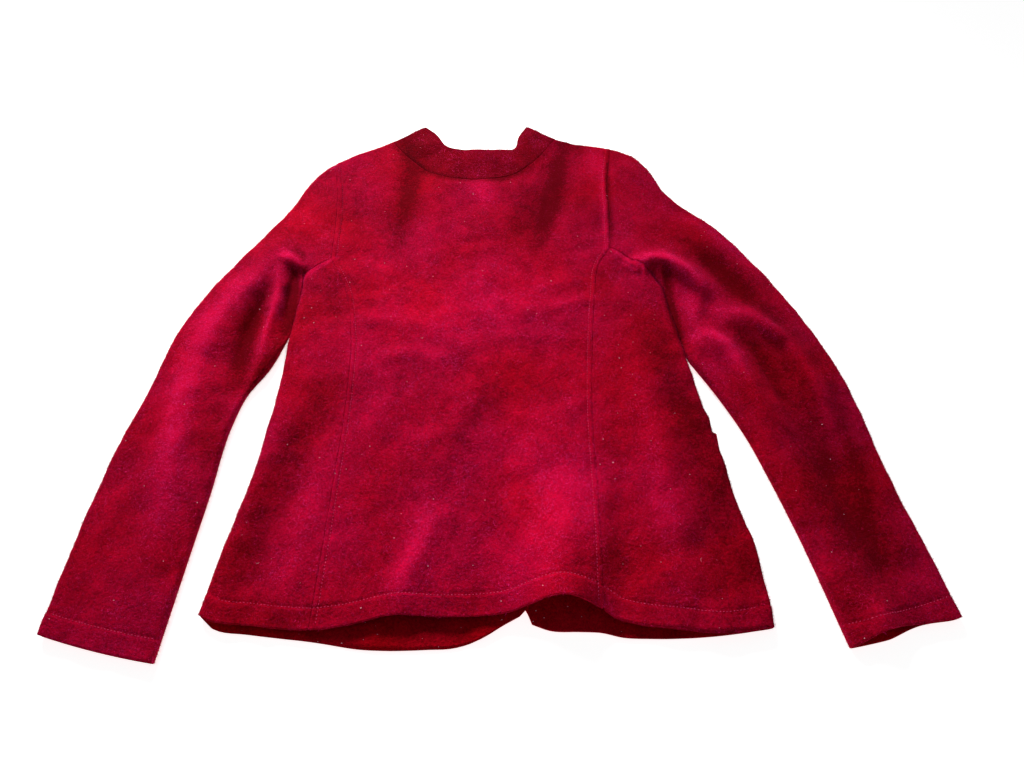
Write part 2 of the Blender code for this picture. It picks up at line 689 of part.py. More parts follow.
def front_grid(side, outer, outer_gaps, roll):
    """Lower layer of one front, its rows running from the front edge to the side."""
    edge_rows = len(outer[0]) + len(outer[1]) - 2
    front = steps(FRONT_EDGE[side], edge_rows)
    neck = with_roll(FRONT_NECK_SEAM[side], roll_end=True)
    armhole = with_roll(ARMHOLE_SEAM[side][::-1], roll_end=True)
    hem = smooth(FRONT_HEM[side])[::-1]
    hem = part_of(hem, front[0], outer[0][0])
    hem[0], hem[-1] = front[0], outer[0][0]
    top = SHOULDER[side]
    loop = [hem, outer[0], outer[1], armhole, top[::-1], neck[::-1], front[::-1]]
    gaps = [0.0, *outer_gaps, GAP / 2, FOLD_SEAM, GAP / 2, 0.0]
    if side == "left":
        loop = [line[::-1] for line in reversed(loop)]
        gaps = gaps[::-1]
    loop = inset(loop, gaps)
    if side == "left":
        loop = [line[::-1] for line in reversed(loop)]
    hem, lower, stretch, armhole, top, neck, front = loop
    outside = join(lower, stretch, armhole)
    inside = join(front[::-1], neck[::-1])
    shares = row_shares(inside, outside, lambda width: front_marks(side, width, roll),
                        False, roll)
    bottom = at(hem, shares[0] * lengths(hem)[-1])
    over = at(top[::-1], shares[-1] * lengths(top)[-1])
    return fill(bottom, outside, over, inside, shares)


def front_marks(side, width, roll):
    """Columns along one row of a front: those of its lap, drawn in on a narrow row, and more."""
    lap = np.array(FRONT_MARKS[side])
    lap *= min(1, width * LAP_SHARE / lap[-1])
    last = width - (ROLL[-1] if roll else 0.0)
    return [*lap, *np.linspace(lap[-1], last, FRONT_COLUMNS + 2)[1:-1]]


def make_front_left():
    side = SIDE_SEAM["left"]
    stretch = np.array([side[-1], ARMHOLE_SEAM["left"][-1]])
    grid = front_grid("left", [side, stretch], [GAP / 2, GAP / 2], False)
    floor = lap_floor("left", grid)
    block = (POCKET_ROWS, POCKET_COLUMNS["left"])
    floor[block] = WALL + GAP
    make_pocket("pocket_left", grid[block])
    return make_cloth("front_left", "front", [sheet(grid, -1, floor)])


def make_front_right():
    fold = fold_rows("right")
    fold[-1] = UNDERARM["right"]
    stretch = np.array([fold[-1], ARMHOLE_SEAM["right"][-1]])
    grid = front_grid("right", [fold, stretch], [0.0, GAP / 2], True)
    floor = lap_floor("right", grid)
    block = (POCKET_ROWS, POCKET_COLUMNS["right"])
    floor[block] = WALL + GAP
    make_pocket("pocket_right", with_tab(grid[block]))
    side = SIDE_SEAM["right"]
    hem = part_of(BACK_HEM_LINE, side[0], fold[0])
    hem[0], hem[-1] = side[0], fold[0]
    top = np.array([side[-1], fold[-1]])
    upper = strip(hem, fold, top, side, [0, 0, GAP / 2, GAP / 2],
                  lambda width: even(width, 2, 0, ROLL[-1]), False, True)
    upper[:, -1] = grid[:BODY_ROWS + 1, -1]
    lift = np.zeros(upper.shape[:-1])
    lift[POCKET_ROWS, -1] = WALL + GAP
    under = [(slice(0, BODY_ROWS + 1), -1)]
    return make_cloth("front_right", "front", [sheet(upper, 1, lift, [(ALL, -1)]),
                                               sheet(grid, -1, floor, under)])


def with_tab(grid):
    """A pocket whose top corner stands out past the fold beside it."""
    edge = grid[:, -1:].copy()
    down = np.arange(len(grid))[::-1, None] / POCKET_TAB_ROWS
    rise = 1 - ramp(down, 0, 1)
    edge[..., 0] += POCKET_TAB * rise - POCKET_IN * (1 - rise)
    edge[..., 1] -= POCKET_TAB_DROP * rise
    return np.concatenate([grid[:, :-len(ROLL)], edge], axis=1)


def make_pocket(name, grid):
    """Patch pocket, made from the front's own points: a flat plate under the front."""
    rows, columns = grid.shape[:2]
    bottom = np.concatenate([grid, np.zeros((rows, columns, 1))], axis=2)
    piece = Cloth()
    down = np.broadcast_to((0.0, 0.0, -1.0), bottom.shape)
    piece.add(bottom, down)
    return make_object(name, *piece.solid(), cloth_material("pocket", name))


# ---- sleeves -----------------------------------------------------------------------------

def cuff_line(side):
    """Cuff edge from the sleeve's outer fold to its inner one, a little bowed."""
    start, end = np.array(CUFF_OUTSIDE[side]), np.array(CUFF_INSIDE[side])
    share = np.linspace(0, 1, CURVE_STEPS + 1)[:, None]
    run = end - start
    out = np.array([run[1], -run[0]]) * INWARD[side] / math.hypot(*run)
    return start + share * run + out * CUFF_BOW * 4 * share * (1 - share)


def make_sleeve(side):
    """Sleeve tube laid flat: an upper and a lower layer over one plan, folded at both edges."""
    outside = SLEEVE_OUTSIDE[side]
    total = lengths(outside)[-1]
    beside_slit = np.linspace(0, SLIT_SHARE, SLEEVE_SLIT_ROWS + 1)
    below = np.linspace(SLIT_SHARE, 1, SLEEVE_ROWS - SLEEVE_SLIT_ROWS + 1)[1:]
    outer = at(outside, np.concatenate([beside_slit, below]) * total)
    slit = underarm_seam(side)
    inner = steps(SLEEVE_FOLD[side], SLEEVE_ROWS - SLEEVE_SLIT_ROWS)
    inner[0] = slit[-1]
    armhole = with_roll(ARMHOLE_SEAM[side], True, True)
    cuff = cuff_line(side)
    loop = [armhole, slit, inner, cuff[::-1], outer[::-1]]
    gaps = [GAP / 2, GAP / 2, 0.0, 0.0, 0.0]
    if side == "left":
        loop, gaps = [line[::-1] for line in reversed(loop)], gaps[::-1]
    loop = inset(loop, gaps)
    if side == "left":
        loop = [line[::-1] for line in reversed(loop)]
    armhole, slit, inner, cuff, outer = loop
    cuff = cuff[::-1]
    outer = outer[::-1]
    inside = join(slit, inner)
    inside[SLEEVE_SLIT_ROWS] = SLEEVE_FOLD[side][0]
    sheets = []
    folds = [(ALL, 0), (slice(SLEEVE_SLIT_ROWS, None), -1)]
    for layer in (1, -1):
        count = len(armhole) - 2 - 2 * len(ROLL)
        shares = row_shares(outer, inside,
                            lambda width: even(width, count, ROLL[-1], ROLL[-1]), True, True)
        shares[0] = shares_of(armhole)
        last = at(cuff, shares[-1] * lengths(cuff)[-1])
        grid = fill(armhole, inside, last, outer, shares)
        sheets.append(sheet(grid, layer, folded=folds))
    return make_cloth(f"sleeve_{side}", "sleeve", sheets)


# ---- collar ------------------------------------------------------------------------------

COLLAR_ROWS = 3


def collar_sheet(seam, top, ends, roll_start, roll_end):
    """Grid of one stretch of the collar, from its seam to its top edge."""
    seam = with_roll(seam, roll_start, roll_end)
    shares = shares_of(seam)
    top_stops = stops(lengths(top)[-1], shares[1 + len(ROLL) * roll_start:
                                               len(shares) - 1 - len(ROLL) * roll_end]
                      * lengths(top)[-1], roll_start, roll_end)
    top = at(top, top_stops)
    start, end = (steps(line, COLLAR_ROWS) for line in ends)
    loop = [seam, end, top[::-1], start[::-1]]
    seam, end, top, start = inset(loop, [GAP / 2, 0.0, 0.0, 0.0])
    return fill(seam, end, top[::-1], start[::-1],
                blend_shares(seam, top[::-1], COLLAR_ROWS + 1))


def make_collar():
    """Stand collar lying flat: a band from one front edge round the back to the other."""
    folds = {side: line[::-1] for side, line in COLLAR_FOLD.items()}
    cut = {side: np.array([FRONT_NECK[side][0], COLLAR_FRONT_TOP[side][0]], float)
           for side in INWARD}
    back = collar_sheet(BACK_NECK_SEAM, smooth(COLLAR_TOP), (folds["left"], folds["right"]),
                        True, True)
    right = collar_sheet(FRONT_NECK_SEAM["right"], smooth(COLLAR_FRONT_TOP["right"]),
                         (cut["right"], folds["right"]), False, True)
    left = collar_sheet(FRONT_NECK_SEAM["left"][::-1],
                        smooth(COLLAR_FRONT_TOP["left"])[::-1],
                        (folds["left"], cut["left"]), True, False)
    right[:, -1] = back[:, -1]
    left[:, 0] = back[:, 0]
    sheets = [sheet(back, 1, folded=[(ALL, 0), (ALL, -1)]),
              sheet(right, -1, lap_floor("right", right), [(ALL, -1)]),
              sheet(left, -1, lap_floor("left", left), [(ALL, 0)])]
    return make_cloth("collar", "collar", sheets)


# ---- buttons -----------------------------------------------------------------------------

def make_button(number):
    """Four-hole button with a raised rim, face down under the right front."""
    y = BUTTON_TOP_Y + (BUTTON_LOW_Y - BUTTON_TOP_Y) * (number - 1) / (BUTTONS - 1)
    x = float(centre_front(y))
    rim = BUTTON_RADIUS - BUTTON_RIM
    profile = [(BUTTON_RADIUS - BUTTON_EASE, BUTTON_THICK),
               (BUTTON_RADIUS, BUTTON_THICK - BUTTON_EASE), (BUTTON_RADIUS, BUTTON_EASE),
               (BUTTON_RADIUS - BUTTON_EASE, 0.0), (rim, 0.0), (rim - BUTTON_DISH, BUTTON_DISH)]
    points, faces = [], []
    for radius, z in profile:
        for k in range(BUTTON_SIDES):
            angle = 2 * math.pi * k / BUTTON_SIDES
            points.append((x + radius * math.cos(angle), y + radius * math.sin(angle), z))
    for ring in range(len(profile) - 1):
        first = ring * BUTTON_SIDES
        for k in range(BUTTON_SIDES):
            a, b = first + k, first + (k + 1) % BUTTON_SIDES
            faces.append([b, a, a + BUTTON_SIDES, b + BUTTON_SIDES])
    faces.append(list(range(BUTTON_SIDES)))
    faces.append(list(range(len(points) - 1, len(points) - 1 - BUTTON_SIDES, -1)))
    body = make_object(f"button_{number}", points, faces,
                       material(f"button_{number}_horn", BUTTON_COLOUR, BUTTON_ROUGHNESS))
    for k in range(4):
        angle = math.pi / 4 + k * math.pi / 2
        drill(body, x + BUTTON_HOLE_OUT * math.cos(angle), y + BUTTON_HOLE_OUT * math.sin(angle))
    return body


def drill(body, x, y):
    """Cuts one thread hole through a button."""
    place = ((x - ORIGIN[0]) * MM, (y - ORIGIN[1]) * MM, 0.0)
    bpy.ops.mesh.primitive_cylinder_add(vertices=BUTTON_HOLE_SIDES, radius=BUTTON_HOLE * MM,
                                        depth=4 * BUTTON_THICK * MM, location=place)
    cutter = bpy.context.active_object
    cutter.hide_render = True
    cutter.display_type = "WIRE"
    cut = body.modifiers.new("thread_hole", "BOOLEAN")
    cut.operation = "DIFFERENCE"
    cut.solver = "EXACT"
    cut.object = cutter


def clear_scene():
    for thing in list(bpy.data.objects):
        bpy.data.objects.remove(thing, do_unlink=True)


def main():
    clear_scene()
    make_back_centre()
    make_back_side_left()
    make_back_side_right()
    make_front_left()
    make_front_right()
    for side in ("left", "right"):
        make_sleeve(side)
    make_collar()
    for number in range(1, BUTTONS + 1):
        make_button(number)


main()
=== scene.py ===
"""Button cardigan in red boiled wool, laid flat with its back up: how it looks.

Every cut piece is a thin shell on the form of its solid. Both layers come from one pair of
height functions over the plan, rounded where the cloth folds over at the outline, with seam
grooves, topstitched hems and creases pressed into them. Lengths are in millimetres.
"""
import json
import math
from collections import namedtuple

import bmesh
import bpy
import numpy as np
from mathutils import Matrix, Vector
from mathutils.bvhtree import BVHTree
from mathutils.kdtree import KDTree

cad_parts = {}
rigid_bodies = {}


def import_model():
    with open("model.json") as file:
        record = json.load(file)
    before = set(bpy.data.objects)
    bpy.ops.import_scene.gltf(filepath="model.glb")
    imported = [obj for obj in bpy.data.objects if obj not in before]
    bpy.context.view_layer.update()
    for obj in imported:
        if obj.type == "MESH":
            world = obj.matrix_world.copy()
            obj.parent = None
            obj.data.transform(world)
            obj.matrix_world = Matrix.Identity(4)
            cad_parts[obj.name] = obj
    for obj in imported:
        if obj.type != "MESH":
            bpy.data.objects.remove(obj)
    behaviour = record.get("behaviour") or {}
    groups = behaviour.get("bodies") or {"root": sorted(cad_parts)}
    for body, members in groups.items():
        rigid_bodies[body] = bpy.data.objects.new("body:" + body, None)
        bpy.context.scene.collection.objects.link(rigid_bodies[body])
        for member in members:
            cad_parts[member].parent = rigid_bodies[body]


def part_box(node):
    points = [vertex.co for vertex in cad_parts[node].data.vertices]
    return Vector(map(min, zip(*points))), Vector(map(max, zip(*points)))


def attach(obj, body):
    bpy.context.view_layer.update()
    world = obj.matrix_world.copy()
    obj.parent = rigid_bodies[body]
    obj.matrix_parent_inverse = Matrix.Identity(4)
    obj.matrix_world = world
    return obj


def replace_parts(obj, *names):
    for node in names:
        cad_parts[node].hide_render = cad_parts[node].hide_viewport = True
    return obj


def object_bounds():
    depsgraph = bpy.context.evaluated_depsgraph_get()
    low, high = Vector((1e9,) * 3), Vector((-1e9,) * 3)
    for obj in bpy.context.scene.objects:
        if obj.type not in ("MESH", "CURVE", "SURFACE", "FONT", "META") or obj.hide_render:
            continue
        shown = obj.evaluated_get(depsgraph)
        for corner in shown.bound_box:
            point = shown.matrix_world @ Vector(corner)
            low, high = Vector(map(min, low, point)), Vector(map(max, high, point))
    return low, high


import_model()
CAD_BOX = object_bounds()

MM = 0.001

# Cloth
WALL = 2.4                # boiled wool
GAP = 0.3                 # between one layer and what lies on it
FOLD_HEIGHT = 4.0         # height of the outermost line of a fold
FOLD_REACH = 5.2          # how far in from a fold the cloth stays round
ROLL_ANGLES = (18, 36, 54, 72, 90)    # where a fold's round has its points
FOLD_RELIEF = 0.12        # share of the finer relief that is left at a fold
CROWN = 9.6               # height of the upper layer where nothing lifts or presses it
CROWN_LEAST = 8.4         # the upper layer never lies lower than this
CROWN_EASE = 0.6          # how softly it meets that lowest height
FOLD_CALM = 0.45          # share of the upper layer's folds that is left beside an outer edge
FOLD_CALM_REACH = 24.0    # and how far in they are whole again
ARMPIT_GAP = 0.1          # between sleeve and body where they press on each other

# Front closing, hidden underneath: the right front laps over the left, so it lies lower
LAP = 26.0                # how far the fronts overlap
CENTRE_FRONT_Y = (-290.0, 222.0)
CENTRE_FRONT_X = (20.0, -31.0)
LEFT_LAP_FLAT = 34.0      # raised band along the left front's edge, then its slope's end
LEFT_LAP_END = 50.0
RIGHT_LAP_FLAT = 27.0
RIGHT_LAP_END = 42.0
BUTTON_THICK = 3.0
RIGHT_LIFT_Y = (-262.0, -240.0, 205.0, 222.0)    # where the buttons lift the right front
LEFT_LIFT_Y = (-290.0, -265.0, 222.0, 240.0)
LAP_CROWN = 3.4           # what the lap adds to the height of the back over it
LAP_CROWN_FLAT = 50.0
LAP_CROWN_END = 80.0
LAP_CROWN_Y = (-310.0, -275.0, 235.0, 265.0)

# Finer form of the cloth
EDGE_ROUND = 1.15         # radius of a cut or turned edge
SEAM_ROUND = 0.6          # of an edge at a seam
HALF_GAP = 0.05           # half the gap between the sewn edges of two pieces
FLAT_ROUND = 0.12         # of the right side seam, which is pressed so flat that it hardly shows
HALF_FLAT_GAP = 0.015     # and half the gap between its edges
SEAM_NEAR = 0.6           # an edge this near to a seam's line belongs to it
HALF_RIM = 0.02           # half of what is left of the wall at its rim
STRAIGHT = 0.05           # sine of a corner's turn, below which it counts as straight
HEM = 20.0                # depth of the stitched hems
BODY_ROWS = 126           # even rows of each piece, besides the fine ones at its edges
ARMHOLE_ROWS = 46
STRETCH_ROWS = 12         # of the fronts, beside the armhole's slanting end
SHOULDER_COLUMNS = 18
NECK_COLUMNS = 60
SIDE_COLUMNS = 34
UNDER_COLUMNS = 3         # of the left side panel, where it turns under
OVER_COLUMNS = 6          # and of the right front, where it turns up
FRONT_COLUMNS = 46
SLEEVE_COLUMNS = 40
SLEEVE_ROWS = 110
SLIT_ROWS = 12
COLLAR_ROWS = 12
SLIT_SHARE = 0.2          # share of the sleeve's outer edge beside the rows at its slit
POINTS_AT_ONCE = 3000     # in the search for what they are nearest to
CURVE_STEPS = 10          # points for each row of an outline table
CREASE_STEPS = 5          # and of a crease
CREASE_REACH = 2.6        # how far from its line a crease counts, in half widths
CREASE_FADE = 1.5         # how softly it ends
PAINTED_LIGHT_HEIGHT = 14.0        # a crease this high paints the full highlight on its crest, and one as deep the full shade in its hollow
PAINTED_LIGHT_LIMITS = (-1.4, 1.3)
HEM_MARKS = (0.5, 1.3, 2.6, 4.6, 7.5, 11.0, 14.5, 17.2, 18.4, 19.4, 20.4, 21.6, 24.0)
SEAM_MARKS = (0.5, 1.1, 1.9, 3.0, 4.4, 5.6, 6.4, 7.2, 8.4, 10.5)
EDGE_MARKS = (0.4, 0.9, 1.8, 3.2)
SIDE_MARKS = (0.8, 1.8, 3.2)
POCKET_SLOPE = 14.0       # how far round a pocket the front's rise over it reaches
POCKET_ROOM = 1.0         # and how far round it the rise has its full height
RIPPLE = 0.45             # of the fronts' inside, where it shows below the back's hem
RIPPLE_FADE = (-262.0, -220.0)
RIPPLE_WAVES = (21, 20, 16, 60)       # seed, number, shortest and longest

# Unevenness of the upper layer, all over it or on a stretch of the back: height, random seed,
# number of waves, their shortest and longest, and the heading that they run along, more or less
Ripple = namedtuple("Ripple", "place height seed count shortest longest heading swing")
RIPPLES = [
    Ripple("all", 0.80, 11, 26, 26, 90, 0, 180),
    Ripple("all", 0.26, 12, 30, 9, 24, 0, 180),
    Ripple("upper back", 0.45, 13, 26, 16, 55, 100, 42),
    Ripple("lower back", 0.70, 14, 26, 22, 75, 140, 38),
]
WAVE_POWER = 0.7          # a wave's height goes with this power of its length
UPPER_BACK = (-90, 20, 110, 190)
LOWER_BACK = (-90, 60)

# Seams with a line of stitches beside them, at this distance on the body's side. A welt runs
# from the seam to the stitches, which lie in a groove
ARMHOLE_STITCH = 6.6
PRINCESS_STITCH = 5.4
SEAM_REACH = 16.0         # how far off a seam's relief ends
WELT = 0.45
WELT_START = (0.5, 2.2)   # its slopes, from the seam and from the stitches
WELT_END = (-1.6, 0.6)
GROOVE_DEPTH = 0.40
GROOVE_WIDTH = 1.0

# Stitched hems: raised as far as their stitches, with a low swell beyond them
HEM_REACH = 40.0          # how far from its edge a hem's relief ends
HEM_RAISE = 0.7
HEM_BEFORE = 2.5          # its slope starts this far before the stitches
HEM_BEYOND = 1.5          # and ends this far beyond them
HEM_GROOVE_WIDTH = 1.1
BACK_HEM_DEPTH = 0.45     # of the groove that the stitches lie in
CUFF_DEPTH = 0.35
SWELL = 0.35
SWELL_AWAY = 4.5
SWELL_WIDTH = 3.0

# The right sleeve's own seam, a groove
UNDERARM_DEPTH = 0.5
UNDERARM_WIDTH = 1.6

# The neck label, stitched inside, shows only as a faint raised square: x and y limits
LABEL_RAISE = 0.45
LABEL_X = (-47.5, -46.0, -10.0, -8.5)
LABEL_Y = (206.0, 207.5, 241.0, 243.0)

# Short nap that stands on the cloth, curls of wool with a painted highlight, and a fringe round
# the folds, where the nap stands out against what is behind: their length, width, degrees above
# the cloth, how far upwards the cloth may face under them, and how much painted highlight they get
Hairs = namedtuple("Hairs", "length width rise facing lighter")
SHORT_NAP = Hairs((0.9, 2.6), (0.10, 0.24), (4.0, 38.0), 1.0, 0.0)
CURLS = Hairs((1.8, 4.6), (0.26, 0.46), (2.0, 12.0), 1.0, 0.75)
FRINGE = Hairs((1.4, 4.4), (0.14, 0.34), (15.0, 70.0), 0.75, 0.0)
NAP_PER_AREA = {"back": 0.85, "side": 0.85, "front": 0.5, "sleeve": 0.85, "collar": 0.55}
CURLS_PER_AREA = 0.11
FRINGE_PER_AREA = 1.3
NAP_MOST = 165000         # hairs of one sort on one piece
CURL_PATCHES = 0.8        # how unevenly curls lie over the cloth
NAP_SPREAD = 0.22         # how much single hairs differ in tone
NAP_TUFTS = 0.58          # and how much tufts of them do
NAP_LOWEST = 0.1          # hairs stay above the surface that the garment lies on
NAP_DOWN = -0.5           # no hairs where the cloth faces further down than this
NAP_SEED = 31             # of the first piece
CURL_WAVES = (71, 24, 14, 60)         # seed, number, shortest and longest
TUFT_WAVES = (40, 3.0, 11)            # number, shortest and longest

# Lint that clings to the cloth: specks on each piece, places tried for each of them, how far
# upwards the cloth faces under them, and how far above it their middles are
Specks = namedtuple("Specks", "counts tries facing lift")
OUTER_SPECKS = Specks({"back_centre": 50, "back_side_left": 20, "back_side_right": 34,
                       "sleeve_left": 18, "sleeve_right": 30, "collar": 6}, 2, 0.2, 0.3)
INNER_SPECKS = Specks({"front_left": 16, "front_right": 8}, 60, 0.5, 0.2)
INNER_HEM = 6.0           # the fronts' inside shows from this far above the back's hem
SPECK_SIZE = (0.25, 0.75)
SPECK_UNEVEN = (0.6, 1.3)
SPECK_FLAT = np.array([1, 1, 1, 1, 0.5, 0.5])    # its tips out of and into the cloth are short
LINT_SEED = 61
LINT_HAIRS = ("back_centre", "back_side_left", "back_side_right", "sleeve_left", "sleeve_right")
LINT_HAIR_FACING = 0.4
LINT_HAIR_LENGTH = (3.0, 6.5)
LINT_HAIR_WIDTH = 0.18
LINT_HAIR_LIFT = 0.35
LINT_HAIR_STEPS = 7
LINT_HAIR_CURL = 0.5      # radians at most, for each step

# Stitches
STITCH_PITCH = 3.3
STITCH_LENGTH = 2.3
STITCH_RADIUS = 0.46
STITCH_SIDES = 5
STITCH_RISE = 0.7         # how far its middle stands out of the cloth, in radii
STITCH_SINK = 0.2         # and how deep its ends lie in it
ABOVE_ALL = 60.0          # height from which the cloth under a stitch is looked for
MIDDLE = (-30.0, 0.0)     # of the garment: hems and seams are stitched on their side towards it

# Pockets and buttons
POCKET_EDGE = 0.8         # how far a pocket's edges are rounded
POCKET_SHARP = 40.0       # degrees between faces at an edge that is rounded
POCKET_WELD = 0.01        # corners of the solid's faces this near are one point
BUTTONS = 5

# Each cut piece: its kind of cloth, what it rests on, and its cut laid flat, seam allowances
# left out, in metres
Piece = namedtuple("Piece", "kind rests_on width length area")
PIECES = {
    "back_centre": Piece("back", ["front_left", "front_right"], 0.355, 0.640, 0.172),
    "back_side_left": Piece("side", ["front_left"], 0.125, 0.450, 0.039),
    "back_side_right": Piece("side", ["front_right"], 0.130, 0.450, 0.042),
    "front_left": Piece("front", ["front_right", "pocket_left"], 0.320, 0.650, 0.141),
    "front_right": Piece("front", ["pocket_right"], 0.320, 0.650, 0.138),
    "sleeve_left": Piece("sleeve", [], 0.345, 0.640, 0.125),
    "sleeve_right": Piece("sleeve", [], 0.360, 0.660, 0.155),
    "collar": Piece("collar", [], 0.440, 0.075, 0.0256),
    "pocket_left": Piece("pocket", [], 0.096, 0.155, 0.0130),
    "pocket_right": Piece("pocket", [], 0.104, 0.150, 0.0118),
}

SIDES = ("left", "right")

# Places where pieces meet: x, y in plan
COLLAR_PEAK = {"left": (-108.0, 346.5), "right": (30.0, 348.0)}
NECK_POINT = {"left": (-149.0, 318.0), "right": (68.0, 323.0)}
SHOULDER_POINT = {"left": (-218.5, 277.0), "right": (139.0, 303.5)}
CUFF_OUTSIDE = {"left": (-424.0, -316.0), "right": (426.0, -300.0)}
CUFF_INSIDE = {"left": (-312.5, -341.0), "right": (317.0, -327.5)}
UNDERARM = {"left": (-235.5, 97.0), "right": (175.5, 98.0)}
SLEEVE_PARTS = {"left": (-241.0, 12.0), "right": (203.0, -18.0)}    # from the body
SIDE_HEM = {"left": (-281.0, -298.0), "right": (251.0, -309.5)}
PRINCESS_TOP = {"left": (-206.5, 120.7), "right": (128.0, 136.0)}
FRONT_TOP = {"left": (-18.0, 222.0), "right": (-44.0, 222.0)}

# Outline tables: x, y of points in plan, joined by smooth curves
EDGE_TOP = {              # collar peak, neck point, shoulder point, then down the sleeve
    "left": [COLLAR_PEAK["left"], NECK_POINT["left"], SHOULDER_POINT["left"], (-236, 260),
             (-250, 238), (-266, 199), (-302, 141), (-344, 71), (-366, 20), (-382, -58),
             (-401, -136), (-415, -230), CUFF_OUTSIDE["left"]],
    "right": [COLLAR_PEAK["right"], NECK_POINT["right"], SHOULDER_POINT["right"], (169, 290),
              (186, 265), (204, 225), (257, 170), (299, 112), (345, 25), (375, -58),
              (388, -135), (407, -219), CUFF_OUTSIDE["right"]],
}
ARMPIT = {                # shared by body and sleeve, from the underarm down to where they part
    "left": [UNDERARM["left"], (-236.5, 66), (-239.5, 36), SLEEVE_PARTS["left"]],
    "right": [UNDERARM["right"], (187.5, 74), (191.5, 46), (198, 16), SLEEVE_PARTS["right"]],
}
BODY_SIDE = {
    "left": [SLEEVE_PARTS["left"], (-242, -41), (-247, -106), (-253, -157), (-265, -213),
             SIDE_HEM["left"]],
    "right": [SLEEVE_PARTS["right"], (214.5, -82), (223, -128), (232, -179), (243, -227),
              (250, -271), SIDE_HEM["right"]],
}
SLEEVE_INSIDE = {
    "left": [SLEEVE_PARTS["left"], (-256, -31), (-276, -66), (-286, -104), (-293.5, -179),
             (-302, -250), CUFF_INSIDE["left"]],
    "right": [SLEEVE_PARTS["right"], (231, -66), (254, -113.5), (272, -165), (289, -220),
              CUFF_INSIDE["right"]],
}
UNDERARM_ROUTE = [(231, 12), (246, -11), (279, -76), (292, -124), (318, -225), (338, -312)]
CUFF_BOW = 2.0
GAPE_WAY = np.array([-0.35, 0.94])               # up the right sleeve
UPPER_GAPE = (354.0, -316.0, 38.0, 7.0)          # the right cuff stands open: where and how far
LOWER_GAPE = (388.0, -310.0, 37.0, 4.5)
ARMHOLE = {               # shoulder point down to where the princess seam starts
    "left": [SHOULDER_POINT["left"], (-208.5, 207), (-206.5, 158), PRINCESS_TOP["left"]],
    "right": [SHOULDER_POINT["right"], (131, 239), (130.5, 180), PRINCESS_TOP["right"]],
}
PRINCESS = {              # hem up to the armhole
    "left": [(-176, -312), (-171, -186), (-167.5, -85), (-171, 13), (-181, 65),
             PRINCESS_TOP["left"]],
    "right": [(94.5, -293), (95.5, -165), (95, -97), (99, -12), (106, 65), (113, 110),
              PRINCESS_TOP["right"]],
}
SIDE_SEAM_IN = {"left": 12.0, "right": 41.0}     # side seam to fold at the hem
SIDE_SEAM_TOP = 14.0                             # and at the underarm, along the armhole
SIDE_SEAM_LEAN = 0.75                            # the armhole's slant draws it this much nearer
BACK_NECK = [NECK_POINT["left"], (-123, 286), (-97, 262.4), (-62, 249), (-36, 246.8),
             (-9.4, 250), (14, 257), (36, 277), NECK_POINT["right"]]
COLLAR_TOP = [COLLAR_PEAK["left"], (-90, 329), (-76, 307), (-59, 299), (-30, 297.5),
              (-6, 297.5), (12, 301), (18, 323), COLLAR_PEAK["right"]]
FRONT_NECK = {            # front edge round to the neck point
    "left": [FRONT_TOP["left"], (-50, 223), (-95, 240), (-128, 272), NECK_POINT["left"]],
    "right": [FRONT_TOP["right"], (-20, 223), (20, 240), (50, 275), NECK_POINT["right"]],
}
COLLAR_FRONT_TOP = {
    "left": [(-18, 270), (-50, 271), (-76, 285), (-95, 310), COLLAR_PEAK["left"]],
    "right": [(-44, 270), (-20, 271), (2, 285), (18, 310), COLLAR_PEAK["right"]],
}
BACK_HEM = [SIDE_HEM["left"], (-270, -303.5), (-234, -308), (-207, -311), (-173.5, -312.4),
            (-145.5, -309), (-103, -300), (-50, -301), (-20, -300), (7, -297), (28, -290.7),
            (42.5, -287), (59, -286.2), (73, -289), (92, -295), (104, -301.7), (123, -307),
            (165, -312.4), (206, -316), SIDE_HEM["right"]]
FRONT_HEM = {             # side round to the front corner
    "left": [SIDE_HEM["left"], (-267, -309.5), (-234, -315), (-207, -318), (-171, -322),
             (-127, -328.4), (-66, -328.4), (-43, -327), (-19.5, -319.6), (2.4, -307),
             (17.2, -299)],
    "right": [SIDE_HEM["right"], (207, -315.5), (165, -318.5), (134, -318.7), (112, -317.8),
              (91.7, -313.4), (70.6, -312.5), (45, -311.6), (28.3, -306)],
}
FRONT_CORNER = {          # rounded corner, from the hem up to the straight front edge
    "left": [(17.2, -299), (26, -289), (31, -275), (31, -258), (28.6, -245)],
    "right": [(28.3, -306), (24, -296), (16, -284), (8, -268), (2.6, -245)],
}

